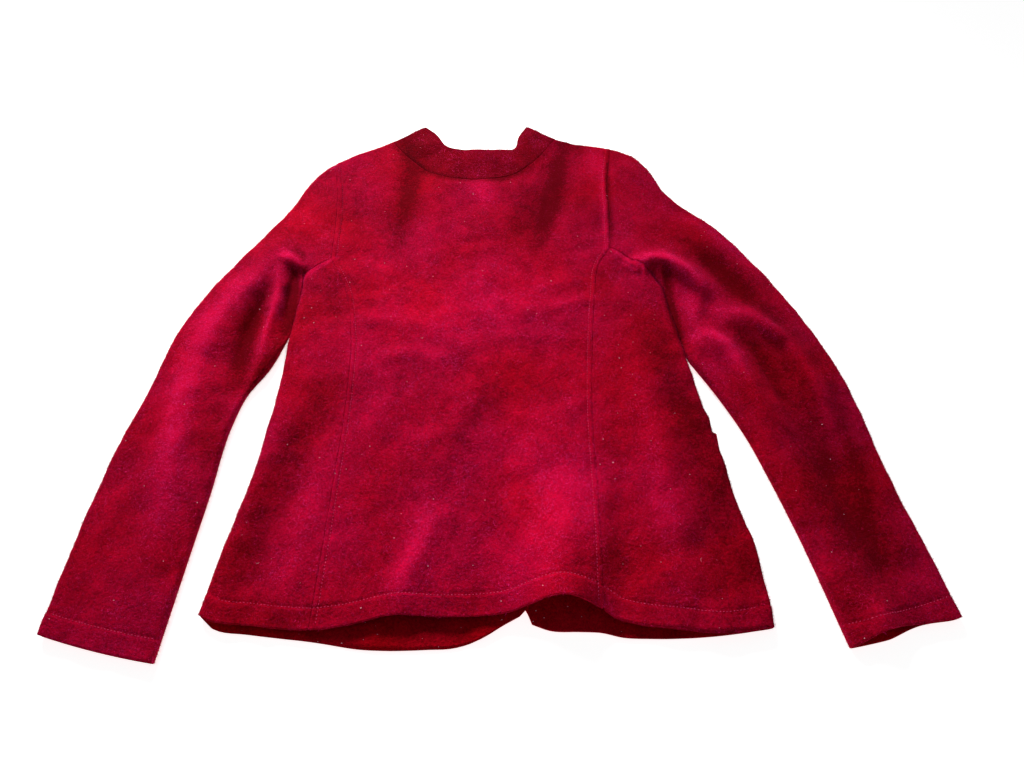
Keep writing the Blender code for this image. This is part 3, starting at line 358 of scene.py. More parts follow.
# Folds and hollows of the upper layer: a line from start to end that bows sideways, with its
# height above (or below) the crown and its half width
Ridge = namedtuple("Ridge", "x0 y0 x1 y1 bow height width")
RIDGE_FADE = 0.8          # how bluntly a fold ends
RIDGES = [
    # left sleeve
    (-250, 180, -330, -20, 0, 5.5, 24),
    (-330, -20, -332, -330, 4, 3.0, 22),
    (-262, 112, -266, -40, 2, 3.0, 9),
    (-245, 118, -247, -10, 0, -4.0, 8),
    (-274, 104, -288, -80, -6, -4.5, 10),
    (-400, -110, -412, -300, 0, 1.5, 24),
    # right sleeve
    (150, 280, 225, 205, 0, 4.0, 20),
    (225, 205, 390, -90, 12, 5.0, 22),
    (138, 110, 236, 36, -33, 5.5, 11),
    (203, 96, 213, 0, -4, -2.5, 16),
    (240, 26, 312, -4, -14, 5.5, 11),
    (212, 0, 262, -2, 0, 4.0, 14),
    (240, 0, 292, -130, -6, 4.5, 15),
    (225, 135, 326, 20, 0, -3.5, 16),
    (290, -20, 372, -270, -6, -3.0, 15),
    (308, -5, 385, -260, -12, 3.5, 14),
    (292, -130, 350, -330, 6, 4.0, 26),
    # body
    (-27, 244, -24, 120, 0, 2.5, 26),
    (-100, 300, -118, 130, 6, -2.0, 16),
    (92, 290, 40, 140, 4, -2.0, 18),
    (48, -15, -50, -180, 6, -2.2, 18),
    (-20, -200, 22, -160, 0, -1.4, 12),
    (-62, -190, -104, -340, -4, 2.6, 22),
    (-190, -40, -246, -330, 0, -2.4, 20),
    (-222, -60, -262, -330, 4, 2.0, 14),
    (105, -170, 122, -330, 0, -0.8, 12),
    (130, -150, 166, -340, 0, 3.4, 20),
    (182, -60, 226, -320, 8, -2.6, 20),
    (186, -300, 236, -330, 0, 1.5, 26),
    # collar
    (-120, 315, -92, 292, 0, 3.0, 22),
    (10, 315, 45, 318, 0, 3.0, 20),
]

# Routes of creases in the right sleeve, with painted shade along them
ARMPIT_TUCK = [(184, 116), (190, 104), (192, 90), (191.5, 68), (193, 45), (196, 24), (201, 4),
               (207, -22)]
ELBOW_HOLLOW = [(250, 28), (266, 8), (280, -8), (291, -34), (308, -90)]
UPPER_HOLLOW = [(222, 140), (240, 120), (254, 100), (268, 76), (288, 50)]

# Finer creases: height, half widths on the left and on the right of the way the route runs, and
# its places. The first ones are the arch in the back's hem over the gap between the fronts
Crease = namedtuple("Crease", "height left right route")
HEM_ARCH = [
    (21.0, 30, 30, [(74, -150), (64, -205), (59, -260), (58, -320), (58, -415)]),
    (4.5, 34, 46, [(74, -40), (58, -130), (46, -210), (40, -330)]),
    (5.4, 17, 50, [(108, -110), (100, -205), (90, -262), (66, -300), (60, -360)]),
]
# the creases below also paint shade into their hollows and highlights onto their crests
CREASES = [
    # upper back
    (2.0, 34, 34, [(-26, 250), (-24, 190), (-22, 130), (-22, 90)]),
    (-4.6, 16, 18, [(84, 340), (69, 262), (58, 205), (38, 120)]),
    (-4.4, 18, 16, [(-150, 350), (-122, 290), (-119, 235), (-130, 130)]),
    (0.7, 4, 5, [(-130, 150), (-60, 153), (0, 152), (60, 150), (140, 144)]),
    (2.9, 14, 14, [(112, 132), (136, 128), (160, 150)]),
    (2.2, 12, 12, [(-176, 32), (-84, 24), (-6, 8)]),
    (1.8, 10, 11, [(-170, -10), (-90, -16), (4, -30)]),
    (1.8, 7, 10, [(16, 24), (66, 50), (126, 64)]),
    (1.4, 7, 8, [(-4, 48), (60, 80), (116, 92)]),
    # lower back
    (2.9, 18, 14, [(0, -36), (-50, -98), (-96, -164)]),
    (3.2, 22, 18, [(92, -56), (42, -118), (-12, -190)]),
    (1.4, 10, 10, [(-112, -118), (-34, -115), (42, -130)]),
    (3.6, 12, 12, [(-48, -170), (-74, -232), (-96, -285), (-108, -350)]),
    (-1.8, 12, 12, [(-92, -180), (-116, -250), (-136, -330)]),
    (1.6, 8, 12, [(-20, -166), (8, -196), (30, -250)]),
    # left side
    (3.3, 24, 22, [(-206, -50), (-232, -140), (-258, -250), (-266, -300)]),
    (2.7, 26, 12, [(-224, 66), (-214, 0), (-204, -80)]),
    # right side
    (4.8, 36, 22, [(140, 20), (166, -80), (184, -190), (198, -306)]),
    (3.0, 13, 15, [(146, -160), (166, -236), (184, -306)]),
    (-0.8, 9, 9, [(96, -190), (117, -248), (142, -300)]),
    # left sleeve
    (5.5, 16, 4, [(-273, 119), (-262, 117), (-250, 110), (-240, 106), (-226, 103)]),
    (-7.0, 6, 5, [(-253, 110), (-247, 96), (-245, 75), (-244.5, 50), (-245, 20), (-248, -12)]),
    (5.4, 13, 26, [(-260, 114), (-276, 95), (-299, 69), (-319, 37), (-330, -6), (-335, -50),
                   (-337, -100), (-336, -170), (-334, -250)]),
    (-5.5, 9, 10, [(-268, 98), (-277, 70), (-285, 34), (-289, 0), (-289, -30), (-285, -62),
                   (-280, -95)]),
    (4.2, 6, 7, [(-269, 116), (-264, 98), (-260, 75), (-259, 52), (-264, 27), (-267, -7),
                 (-263, -30), (-258, -52)]),
    (1.4, 4, 3, [(-301, -70), (-290, -82), (-281, -96)]),
    (-2.0, 7, 7, [(-308, -78), (-300, -92), (-296, -108)]),
    (1.8, 10, 12, [(-384, -150), (-392, -230), (-400, -310)]),
    # right sleeve
    (7.5, 19, 5, [(140, 108), (156, 101), (166, 108), (173, 113), (180, 115), (187, 113),
                  (194, 109), (205, 100), (214, 90), (228, 75), (238, 63), (245, 46)]),
    (-10.0, 6, 4, ARMPIT_TUCK),
    (-3.5, 7, 7, [(232, 70), (233, 54), (230, 36), (222, 20)]),
    (6.6, 13, 7, [(224, 26), (232, 36), (246, 40), (262, 38), (277, 36), (288, 25), (297, 14),
                  (314, -5), (332, -44), (350, -110)]),
    (6.0, 9, 7, [(198, -6), (206, 3), (216, 9), (228, 10), (241, 0), (252, -22), (264, -52),
                 (280, -110)]),
    (-5.0, 10, 10, ELBOW_HOLLOW),
    (-4.0, 12, 12, UPPER_HOLLOW),
    (-3.8, 14, 14, [(292, -30), (312, -90), (330, -150), (356, -240)]),
    (2.0, 14, 9, [(332, -304), (370, -286), (418, -266)]),
    (8.0, 15, 14, [(332, -240), (343, -285), (352, -320), (360, -390)]),
    # the collar leans back towards the hem
    (4.8, 16, 40, [(-92, 316), (-70, 303), (-30, 299), (10, 303), (26, 322)]),
]
# Painted shade, below 0, and painted highlights, above 0, in the wool's colour: amount, half
# widths on the left and right of the way the route runs, and its places
PAINTED_LIGHT_AND_SHADE = [
    # painted shade
    (-1.3, 14, 14, [(-150, 350), (-122, 292), (-117, 250), (-121, 211), (-128, 160),
                    (-130, 110)]),
    (-1.3, 11, 12, [(94, 350), (78, 300), (66, 245), (55, 194), (44, 150), (38, 110)]),
    (-0.9, 14, 12, [(56, 334), (80, 314), (104, 302), (126, 296)]),
    (-0.6, 18, 18, [(42, 266), (34, 222), (22, 176), (10, 130)]),
    (-1.0, 4, 5, [(-172, 340), (-123, 285), (-97, 261), (-62, 248), (-36, 246), (-9, 249),
                  (14, 256), (36, 276), (84, 346)]),
    (-0.35, 60, 60, [(-150, 210), (-80, 208), (-30, 205), (60, 205), (140, 190)]),
    (-0.5, 12, 12, [(-310, -288), (-234, -298), (-174, -302), (-103, -290), (-50, -291),
                    (20, -286)]),
    (-1.1, 26, 26, [(146, 60), (168, -10), (192, -90), (216, -190)]),
    (-0.35, 20, 20, [(-204, 130), (-206, 84), (-208, 40), (-212, -10)]),
    (-0.8, 20, 20, [(-170, -10), (-187, -54), (-219, -131), (-246, -217), (-262, -290)]),
    (-0.8, 42, 42, [(190, -40), (206, -108), (219, -207), (228, -276), (234, -350)]),
    (-1.4, 9, 10, [(-266, 98), (-276, 70), (-284, 34), (-289, 0), (-290, -35), (-288, -75)]),
    (-1.1, 8, 6, [(-247, 12), (-257, -18), (-267, -42), (-273, -62), (-280, -90)]),
    (-0.5, 14, 14, [(-298, 0), (-300, -60), (-300, -150), (-304, -240)]),
    (-1.6, 6, 5, [(-253, 116), (-247, 96), (-245, 75), (-244.5, 50), (-246, 20), (-250, -20)]),
    (-0.9, 5, 5, [(-254, 146), (-246, 129), (-238, 114), (-236, 100), (-236, 80)]),
    (-1.2, 8, 7, [(-250, 112), (-249, 98), (-249, 76), (-251, 54), (-254, 34)]),
    (-1.3, 16, 15, [(178, 205), (201, 172), (256, 103), (306, 17), (345, -97), (361, -207),
                    (372, -290)]),
    (-1.0, 36, 30, [(296, -40), (313, -97), (342, -207), (362, -285), (374, -360)]),
    (-0.5, 16, 16, [(60, 20), (35, -16), (-24, -85), (-74, -143), (-110, -190)]),
    (-0.4, 28, 28, [(-214, 290), (-204, 248), (-176, 164), (-170, 110)]),
    (-0.4, 26, 26, [(84, 310), (91, 274), (106, 172), (108, 120)]),
    (-1.5, 6, 5, ARMPIT_TUCK),
    (-1.0, 10, 10, ELBOW_HOLLOW),
    (-0.7, 12, 12, UPPER_HOLLOW),
    # painted shade and highlight along the seam of the right armhole, which turns under the arm
    (-1.3, 4, 2, [(137, 330), (133, 285), (130, 239), (130, 190), (129, 150), (128, 120)]),
    (1.1, 3, 4, [(134, 330), (127, 285), (124.5, 239), (124, 190), (123, 150), (121, 110)]),
    (0.8, 11, 11, [(120, 340), (116, 300), (116, 260), (118, 225)]),
    (1.4, 2.2, 2.2, [(116, 144), (126.5, 132.5), (142, 120), (158, 107), (173, 96), (186, 84)]),
    (1.0, 1.6, 1.6, [(132, 118), (146, 108), (158, 99), (172, 88)]),
    # painted highlights
    (0.9, 16, 14, [(-46, 262), (-32, 238), (-24, 212), (-22, 180)]),
    (0.6, 50, 44, [(-200, 46), (-150, 36), (-96, 36), (-28, 50), (82, 72), (130, 88)]),
    (0.7, 42, 42, [(64, -70), (60, -120), (48, -186), (41, -257), (40, -330)]),
    (0.5, 15, 15, [(-48, -150), (-62, -186), (-84, -237), (-94, -285), (-100, -340)]),
    (1.2, 11, 19, [(-252, 134), (-276, 99), (-300, 71), (-321, 39), (-333, -6), (-338, -50),
                   (-339, -108), (-334, -186), (-328, -270)]),
    (1.0, 6, 6, [(-270, 120), (-262, 80), (-259, 52), (-264, 27), (-267, -7), (-262, -40)]),
    (1.4, 7, 4, [(-280, 122), (-262, 120), (-250, 112), (-240, 108), (-228, 103)]),
    (1.6, 2.6, 2.6, [(-190, 130), (-206, 117), (-220, 105), (-233, 94), (-246, 80)]),
    (0.5, 22, 22, [(-280, 215), (-253, 189), (-211, 149), (-190, 130)]),
    (1.3, 8, 6, [(140, 110), (158, 105), (173, 116), (187, 116), (205, 103), (228, 77),
                 (240, 60)]),
    (1.3, 10, 8, [(222, 28), (234, 40), (262, 42), (279, 39), (299, 16), (318, -12),
                  (336, -60), (346, -140), (350, -220)]),
    (1.2, 8, 7, [(200, 0), (216, 11), (230, 12), (243, 0), (254, -24), (266, -60)]),
    (1.2, 9, 9, [(206, 96), (211, 78), (214, 60), (214, 42), (208, 20)]),
    (0.6, 12, 14, [(80, -140), (84, -190), (90, -240), (96, -290), (100, -350)]),
    (0.4, 18, 18, [(120, 80), (133, 31), (152, -108), (162, -247), (170, -320)]),
    (0.4, 15, 15, [(-170, -60), (-175, -108), (-198, -207), (-208, -276), (-212, -330)]),
    (0.4, 9, 9, [(160, 240), (183, 213), (262, 149), (328, 45), (350, -20)]),
]
SLEEVE_LEAST = 5.4        # the sleeves' upper layer never lies lower than this


# ---- curves ------------------------------------------------------------------------------

def lengths(line):
    """Distance along a line at each of its points."""
    steps = np.linalg.norm(np.diff(line, axis=0), axis=1)
    return np.concatenate([[0.0], np.cumsum(steps)])


def smooth(table, count=CURVE_STEPS):
    """A smooth line through a table's points, with count points for each row."""
    knots = np.array(table, float)
    tangents = np.gradient(knots, lengths(knots), axis=0)
    spans = np.diff(lengths(knots))
    line = [knots[:1]]
    for start, end, head, tail, span in zip(knots, knots[1:], tangents, tangents[1:], spans):
        t = np.arange(1, count + 1)[:, None] / count
        line.append((2 * t**3 - 3 * t**2 + 1) * start + (t**3 - 2 * t**2 + t) * span * head
                    + (3 * t**2 - 2 * t**3) * end + (t**3 - t**2) * span * tail)
    return np.concatenate(line)


def shares_of(line):
    """Share of a line's length at each of its points."""
    return lengths(line) / lengths(line)[-1]


def at(line, distances):
    """Points of a line at distances along it."""
    reach = lengths(line)
    return np.stack([np.interp(distances, reach, line[:, k]) for k in (0, 1)], axis=-1)


def at_shares(line, shares):
    """Points of a line at shares of its length."""
    return at(line, shares * lengths(line)[-1])


def steps(line, count):
    """The line with count even steps."""
    return at(line, np.linspace(0, lengths(line)[-1], count + 1))


def join(*lines):
    """Lines end to end, each sharing its first point with the last one's end."""
    return np.concatenate([lines[0]] + [line[1:] for line in lines[1:]])


def unit(vectors):
    """Vectors brought to length 1."""
    return vectors / np.linalg.norm(vectors, axis=-1, keepdims=True)


def to_left(ways):
    """Ways in plan, turned to their left."""
    return np.stack([-ways[:, 1], ways[:, 0]], axis=1)


def shifted(line, distance):
    """The line moved to its left."""
    return line + distance * to_left(unit(np.gradient(line, axis=0)))


def ramp(value, low, high):
    """0 below low, 1 above high, and a soft slope between."""
    t = np.clip((value - low) / (high - low), 0, 1)
    return t * t * (3 - 2 * t)


def band(value, limits):
    """1 inside a band and 0 outside it, with soft slopes."""
    start, full, fade, end = limits
    return ramp(value, start, full) * (1 - ramp(value, fade, end))


# ---- outline -----------------------------------------------------------------------------

EDGE = {side: smooth(table) for side, table in EDGE_TOP.items()}
COLLAR_FOLD = {side: line[:CURVE_STEPS + 1] for side, line in EDGE.items()}
SHOULDER = {side: line[CURVE_STEPS:2 * CURVE_STEPS + 1] for side, line in EDGE.items()}
SLEEVE_OUTSIDE = {side: line[2 * CURVE_STEPS:] for side, line in EDGE.items()}
INWARD = {"left": 1.0, "right": -1.0}            # from each side, the way to the middle


def groove(side, towards):
    """The armpit line, moved half the gap towards the body (1) or the sleeve (-1)."""
    line = smooth(ARMPIT[side])
    return shifted(line, INWARD[side] * towards * ARMPIT_GAP / 2)


def fold_line(side, towards, rest):
    """A fold from the underarm down: the armpit line, and the rest of the edge after it."""
    return np.concatenate([groove(side, towards)[:-1], smooth(rest[side])[1:]])


BODY_FOLD = {side: fold_line(side, 1, BODY_SIDE) for side in SIDES}
SLEEVE_FOLD = {side: fold_line(side, -1, SLEEVE_INSIDE) for side in SIDES}

# the part's origin is under the middle of its outline
OUTLINE = np.concatenate([*EDGE.values(), *SLEEVE_FOLD.values(), *BODY_FOLD.values()])
ORIGIN = (OUTLINE.min(0) + OUTLINE.max(0)) / 2

# every fold, run so that the cloth is on its left
FOLDS = [EDGE["left"], SLEEVE_FOLD["left"][::-1], BODY_FOLD["left"],
         BODY_FOLD["right"][::-1], SLEEVE_FOLD["right"], EDGE["right"][::-1]]
FOLD_STARTS = np.concatenate([line[:-1] for line in FOLDS])
FOLD_ENDS = np.concatenate([line[1:] for line in FOLDS])


def nearest_run(points, starts, runs):
    """The straight run nearest to each plan point, its share passed, and the way to the point."""
    found = []
    for here in np.array_split(points, len(points) // POINTS_AT_ONCE + 1):
        share = ((here[:, None] - starts) * runs).sum(2) / (runs**2).sum(1)
        share = np.clip(share, 0, 1)
        away = here[:, None] - (starts + share[..., None] * runs)
        pick = np.linalg.norm(away, axis=2).argmin(1)
        rows = np.arange(len(here))
        found.append((pick, share[rows, pick], away[rows, pick]))
    return [np.concatenate(parts) for parts in zip(*found)]


def nearest_fold(points, on_fold):
    """Distance of plan points from the nearest fold, and the direction away from it."""
    runs = FOLD_ENDS - FOLD_STARTS
    pick, _, away = nearest_run(points, FOLD_STARTS, runs)
    distance = np.linalg.norm(away, axis=1)
    away /= np.maximum(distance, 1e-9)[:, None]
    close = on_fold | (distance < GAP)
    away[close] = to_left(unit(runs[pick[close]]))
    return np.where(on_fold, 0.0, distance), away


# ---- heights -----------------------------------------------------------------------------

def centre_front(y):
    """X of the centre front line, which leans from the neck to the hem."""
    return np.interp(y, CENTRE_FRONT_Y, CENTRE_FRONT_X)


def ridge_height(ridge, points):
    """Height that one fold or hollow adds over plan points."""
    x, y = points.T
    run_x, run_y = ridge.x1 - ridge.x0, ridge.y1 - ridge.y0
    length = math.hypot(run_x, run_y)
    along = ((x - ridge.x0) * run_x + (y - ridge.y0) * run_y) / length**2
    across = ((y - ridge.y0) * run_x - (x - ridge.x0) * run_y) / length
    across = across + ridge.bow * 4 * along * (1 - along)
    fade = np.clip(4 * along * (1 - along), 0, 1) ** RIDGE_FADE
    return ridge.height * fade * np.exp(-(across / ridge.width)**2)


def beside(points, line, reach):
    """Distance of plan points from a line, positive on its left, and how far along they lie.

    Points further off than reach keep that distance.
    """
    distance = np.full(len(points), float(reach))
    along = np.zeros(len(points))
    low, high = line.min(0) - reach, line.max(0) + reach
    near = ((points > low) & (points < high)).all(1)
    pick, share, away = nearest_run(points[near], line[:-1], np.diff(line, axis=0))
    way = line[pick + 1] - line[pick]
    off = points[near] - line[pick]
    left = np.sign(way[:, 0] * off[:, 1] - way[:, 1] * off[:, 0])
    distance[near] = np.minimum(np.linalg.norm(away, axis=1), reach) * left
    along[near] = lengths(line)[pick] + share * np.linalg.norm(way, axis=1)
    return distance, along


def creased(table, points):
    """Height, or painted light and shade, that a table's creases add over plan points."""
    total = np.zeros(len(points))
    for crease in (Crease(*row) for row in table):
        line = smooth(crease.route, CREASE_STEPS)
        distance, along = beside(points, line, CREASE_REACH * max(crease.left, crease.right))
        share = along / lengths(line)[-1]
        width = np.where(distance > 0, crease.left, crease.right)
        fade = (4 * share * (1 - share)) ** CREASE_FADE
        total += crease.height * fade * np.exp(-(distance / width)**2)
    return total


def crown(points, lowest=CROWN_LEAST):
    """Height of the upper layer's outer face, away from the folds."""
    x, y = points.T
    height = CROWN + sum(ridge_height(Ridge(*row), points) for row in RIDGES)
    height += creased(HEM_ARCH + CREASES, points)
    beyond = np.abs(x - centre_front(y) + LAP / 2)
    lap = LAP_CROWN * (1 - ramp(beyond, LAP_CROWN_FLAT, LAP_CROWN_END)) * band(y, LAP_CROWN_Y)
    least = lowest + lap
    return least + CROWN_EASE * np.logaddexp(0, (height - least) / CROWN_EASE)


def painted_light_of(points):
    """Painted light and shade over plan points: full painted shade at -1 and full painted
    highlight at 1, darker in the creases' hollows and lighter on their crests.
    """
    painted_light_and_mottle = creased(PAINTED_LIGHT_AND_SHADE, points) + creased(CREASES, points) / PAINTED_LIGHT_HEIGHT
    return np.clip(painted_light_and_mottle, *PAINTED_LIGHT_LIMITS)


def slope(function, points, step=0.05):
    """Gradient of a height function."""
    shift = np.eye(2) * step
    return np.stack([(function(points + s) - function(points - s)) / (2 * step)
                     for s in shift], axis=1)


def sheet(points, layer, floor=0.0, folded=(), lowest=CROWN_LEAST):
    """Outer face of one layer over plan points: places and outward normals.

    layer is 1 for the upper layer and -1 for the lower one. floor lifts the lower layer, and
    the upper one near a fold. folded picks the points that lie on a fold, where both meet.
    """
    flat = points.reshape(-1, 2)
    on_fold = np.zeros(points.shape[:-1], bool)
    for pick in folded:
        on_fold[pick] = True
    distance, away = nearest_fold(flat, on_fold.reshape(-1))
    inner = 1 - np.clip(distance / FOLD_REACH, 0, 1)
    rise = np.sqrt(1 - inner**2)
    lift = np.broadcast_to(floor, points.shape[:-1]).reshape(-1)
    if layer > 0:
        beyond = [np.abs(beside(flat, line, FOLD_CALM_REACH)[0]) for line in EDGE.values()]
        calm = FOLD_CALM + (1 - FOLD_CALM) * ramp(np.minimum(*beyond), 0, FOLD_CALM_REACH)
        top = CROWN + (crown(flat, lowest) - CROWN) * calm
        tilt = ((top - FOLD_HEIGHT) * inner / FOLD_REACH)[:, None] * away
        tilt = tilt + (calm * rise**2)[:, None] * slope(lambda p: crown(p, lowest), flat)
        height = FOLD_HEIGHT + (top - FOLD_HEIGHT) * rise
        height = height + lift * inner**2
    else:
        tilt = (FOLD_HEIGHT * inner / FOLD_REACH)[:, None] * away
        height = FOLD_HEIGHT * (1 - rise) + lift
    normals = unit(np.column_stack([-tilt, rise * layer]))
    places = np.column_stack([flat, height])
    shape = points.shape[:-1] + (3,)
    return places.reshape(shape), normals.reshape(shape)


# ---- grids -------------------------------------------------------------------------------

ALL = slice(None)

# a seam that ends at a fold starts this far in from it
FOLD_SEAM = FOLD_REACH * (1 - math.sqrt(1 - (HALF_GAP / FOLD_HEIGHT)**2))
ROLL = [FOLD_REACH * (1 - math.cos(math.radians(angle))) for angle in ROLL_ANGLES]


def inset(sides, gaps):
    """Sides of a closed outline, anticlockwise, each moved inwards by its own gap."""
    moved = []
    for number, (line, gap) in enumerate(zip(sides, gaps)):
        before, after = sides[number - 1], sides[(number + 1) % len(sides)]
        runs = np.concatenate([[before[-1] - before[-2]], np.diff(line, axis=0),
                               [after[1] - after[0]]])
        depth = np.concatenate([[gaps[number - 1]], np.full(len(line) - 1, gap),
                                [gaps[(number + 1) % len(sides)]]])
        inward = to_left(unit(runs))
        points = []
        for point, n0, n1, g0, g1 in zip(line, inward, inward[1:], depth, depth[1:]):
            turn = n0[0] * n1[1] - n0[1] * n1[0]
            if abs(turn) < STRAIGHT:
                points.append(point + (n0 + n1) * (g0 + g1) / 4)
            else:
                points.append(point + np.array([g0 * n1[1] - g1 * n0[1],
                                                g1 * n0[0] - g0 * n1[0]]) / turn)
        moved.append(np.array(points))
    return moved


def inset_side(side, loop, gaps):
    """A loop of one side moved inwards. The left side's loops run clockwise."""
    if side == "right":
        return inset(loop, gaps)
    moved = inset([line[::-1] for line in reversed(loop)], gaps[::-1])
    return [line[::-1] for line in reversed(moved)]


def inset_four(bottom, right, top, left, gaps):
    """Four sides moved inwards. Top runs as bottom does, and left as right does."""
    bottom, right, top, left = inset([bottom, right, top[::-1], left[::-1]], gaps)
    return bottom, right, top[::-1], left[::-1]


def fill(bottom, right, top, left, shares):
    """Grid between four sides. shares[i, j] says how far column j is along row i."""
    rise = (shares_of(left) + shares_of(right)) / 2
    grid = left[:, None] + (right - left)[:, None] * shares[..., None]
    for row, line, weight in ((0, bottom, 1 - rise), (-1, top, rise)):
        grid = grid + weight[:, None, None] * (line - grid[row])
    return grid


def blend_shares(bottom, top, rows):
    """Shares that pass evenly from those of the bottom side to those of the top."""
    t = np.linspace(0, 1, rows)[:, None]
    return (1 - t) * shares_of(bottom) + t * shares_of(top)


# ---- fine surface ------------------------------------------------------------------------

def spread(length, count, start=(), end=()):
    """Distances along a line: fine marks near its ends and count even ones between."""
    low = start[-1] if len(start) else 0.0
    high = length - (end[-1] if len(end) else 0.0)
    return np.array([0.0, *start, *np.linspace(low, high, count + 2)[1:-1],
                     *[length - mark for mark in reversed(end)], length])


def run(line, count, start=(), end=()):
    """The line with its points spread along it."""
    return at(line, spread(lengths(line)[-1], count, start, end))


def bump(value, centre, width):
    """1 at a centre, falling softly to 0 on both sides of it."""
    return np.exp(-((value - centre) / width)**2)


def waves(points, seed, count, shortest, longest, heading=0.0, swing=180.0):
    """Soft uneven ripple made of many plane waves, about 1 high, that run along a heading."""
    rng = np.random.default_rng(seed)
    total = np.zeros(len(points))
    for _ in range(count):
        size = np.exp(rng.uniform(np.log(shortest), np.log(longest)))
        angle = math.radians(heading + rng.uniform(-swing, swing))
        phase = rng.uniform(0, 2 * np.pi)
        across = points @ np.array([math.cos(angle), math.sin(angle)])
        total += np.sin(across * 2 * np.pi / size + phase) * (size / longest)**WAVE_POWER
    return total / math.sqrt(count)


def relief(points, stitched):
    """What is pressed into or stands out of the upper layer, on top of its main folds."""
    y = points[:, 1]
    places = {"all": 1.0, "upper back": band(y, UPPER_BACK),
              "lower back": 1 - ramp(y, *LOWER_BACK)}
    height = sum(ripple.height * places[ripple.place] * waves(points, *ripple[2:])
                 for ripple in RIPPLES)
    for seam, offset in stitched:
        distance = np.abs(beside(points, seam, SEAM_REACH)[0])
        height += WELT * band(distance, (*WELT_START, *np.add(offset, WELT_END)))
        height -= GROOVE_DEPTH * bump(distance, offset, GROOVE_WIDTH)
    for edge, depth in HEMMED:
        distance = np.abs(beside(points, edge, HEM_REACH)[0])
        height += HEM_RAISE * (1 - ramp(distance, HEM - HEM_BEFORE, HEM + HEM_BEYOND))
        height -= depth * bump(distance, HEM, HEM_GROOVE_WIDTH)
        height += SWELL * bump(distance, HEM + SWELL_AWAY, SWELL_WIDTH)
    distance = beside(points, UNDERARM_LINE, SEAM_REACH)[0]
    height -= UNDERARM_DEPTH * bump(distance, 0.0, UNDERARM_WIDTH)
    return height + LABEL_RAISE * band(points[:, 0], LABEL_X) * band(y, LABEL_Y)


def edge_round(places):
    """Radius of a piece's edge at each of some places on it."""
    radius = np.full(len(places), EDGE_ROUND)
    for seam, size in SEWN:
        near = np.abs(beside(places[:, :2], seam, 2 * SEAM_NEAR)[0]) < SEAM_NEAR
        radius[near & (places[:, 2] > FOLD_HEIGHT)] = size
    return radius


class Shell:
    """A cut piece's fine wall, rounded at its open edges and at its seams."""

    def __init__(self):
        self.index, self.places, self.normals, self.faces = {}, [], [], []

    def add(self, places, normals):
        """Add a grid. Places that agree to 0.001 mm are one point."""
        rows, columns = places.shape[:2]
        flat, turned = places.reshape(-1, 3), normals.reshape(-1, 3)
        ids = np.empty(len(flat), int)
        for k, key in enumerate(map(tuple, np.round(flat, 3))):
            if key not in self.index:
                self.index[key] = len(self.places)
                self.places.append(flat[k])
                self.normals.append(turned[k])
            ids[k] = self.index[key]
        ids = ids.reshape(rows, columns)
        quads = np.stack([ids[:-1, :-1], ids[:-1, 1:], ids[1:, 1:], ids[1:, :-1]], 2)
        quads = quads.reshape(-1, 4)
        where, facing = np.array(self.places), np.array(self.normals)
        corners = where[quads]
        out = np.cross(corners[:, 2] - corners[:, 0], corners[:, 3] - corners[:, 1])
        wrong = (out * facing[quads].sum(1)).sum(1) < 0
        quads[wrong] = quads[wrong][:, ::-1]
        self.faces += quads.tolist()

    def border(self):
        """Open edges of the faces."""
        edges = {(a, b) for face in self.faces for a, b in zip(face, face[1:] + face[:1])}
        return sorted((a, b) for a, b in edges if (b, a) not in edges)

    def wall(self):
        """Points and faces of the closed wall, and how many points its outer side has."""
        outer, normals = np.array(self.places), np.array(self.normals)
        rim = self.border()
        tree = KDTree(len(rim))
        for k, (a, _) in enumerate(rim):
            tree.insert(outer[a], k)
        tree.balance()
        found = [tree.find(place) for place in outer]
        edge = np.array([distance for _, _, distance in found])
        radius = edge_round(np.array([outer[a] for a, _ in rim]))[[k for _, k, _ in found]]
        short = 1 - np.clip(edge / radius, 0, 1)
        drop = radius * (1 - np.sqrt(1 - short**2))
        drop = np.minimum(drop, WALL / 2 - HALF_RIM)[:, None]
        count = len(outer)
        faces = list(self.faces) + [[k + count for k in reversed(face)] for face in self.faces]
        faces += [[b, a, a + count, b + count] for a, b in rim]
        points = np.concatenate([outer - drop * normals, outer - (WALL - drop) * normals])
        return points, faces, count


def in_frame(points):
    """Plan points and heights as places in the frame, in metres."""
    return (points - (*ORIGIN, 0.0)) * MM


def add_object(name, data):
    """An object in the scene."""
    made = bpy.data.objects.new(name, data)
    bpy.context.collection.objects.link(made)
    return made


def add_piece(name, mesh):
    """A piece of the garment, held by the garment's root body."""
    piece = add_object(name, mesh)
    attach(piece, "root")
    return piece


def set_painted_light(mesh, painted_light_and_mottle):
    """Keep painted light and shade at each of a mesh's points, for its material; on the nap, with
    random tone added.
    """
    mesh.attributes.new("painted_light_and_mottle", "FLOAT", "POINT").data.foreach_set("value", painted_light_and_mottle)


OUTER, INNER = {}, {}     # each side of the cloth: points, normals, faces and painted light and shade


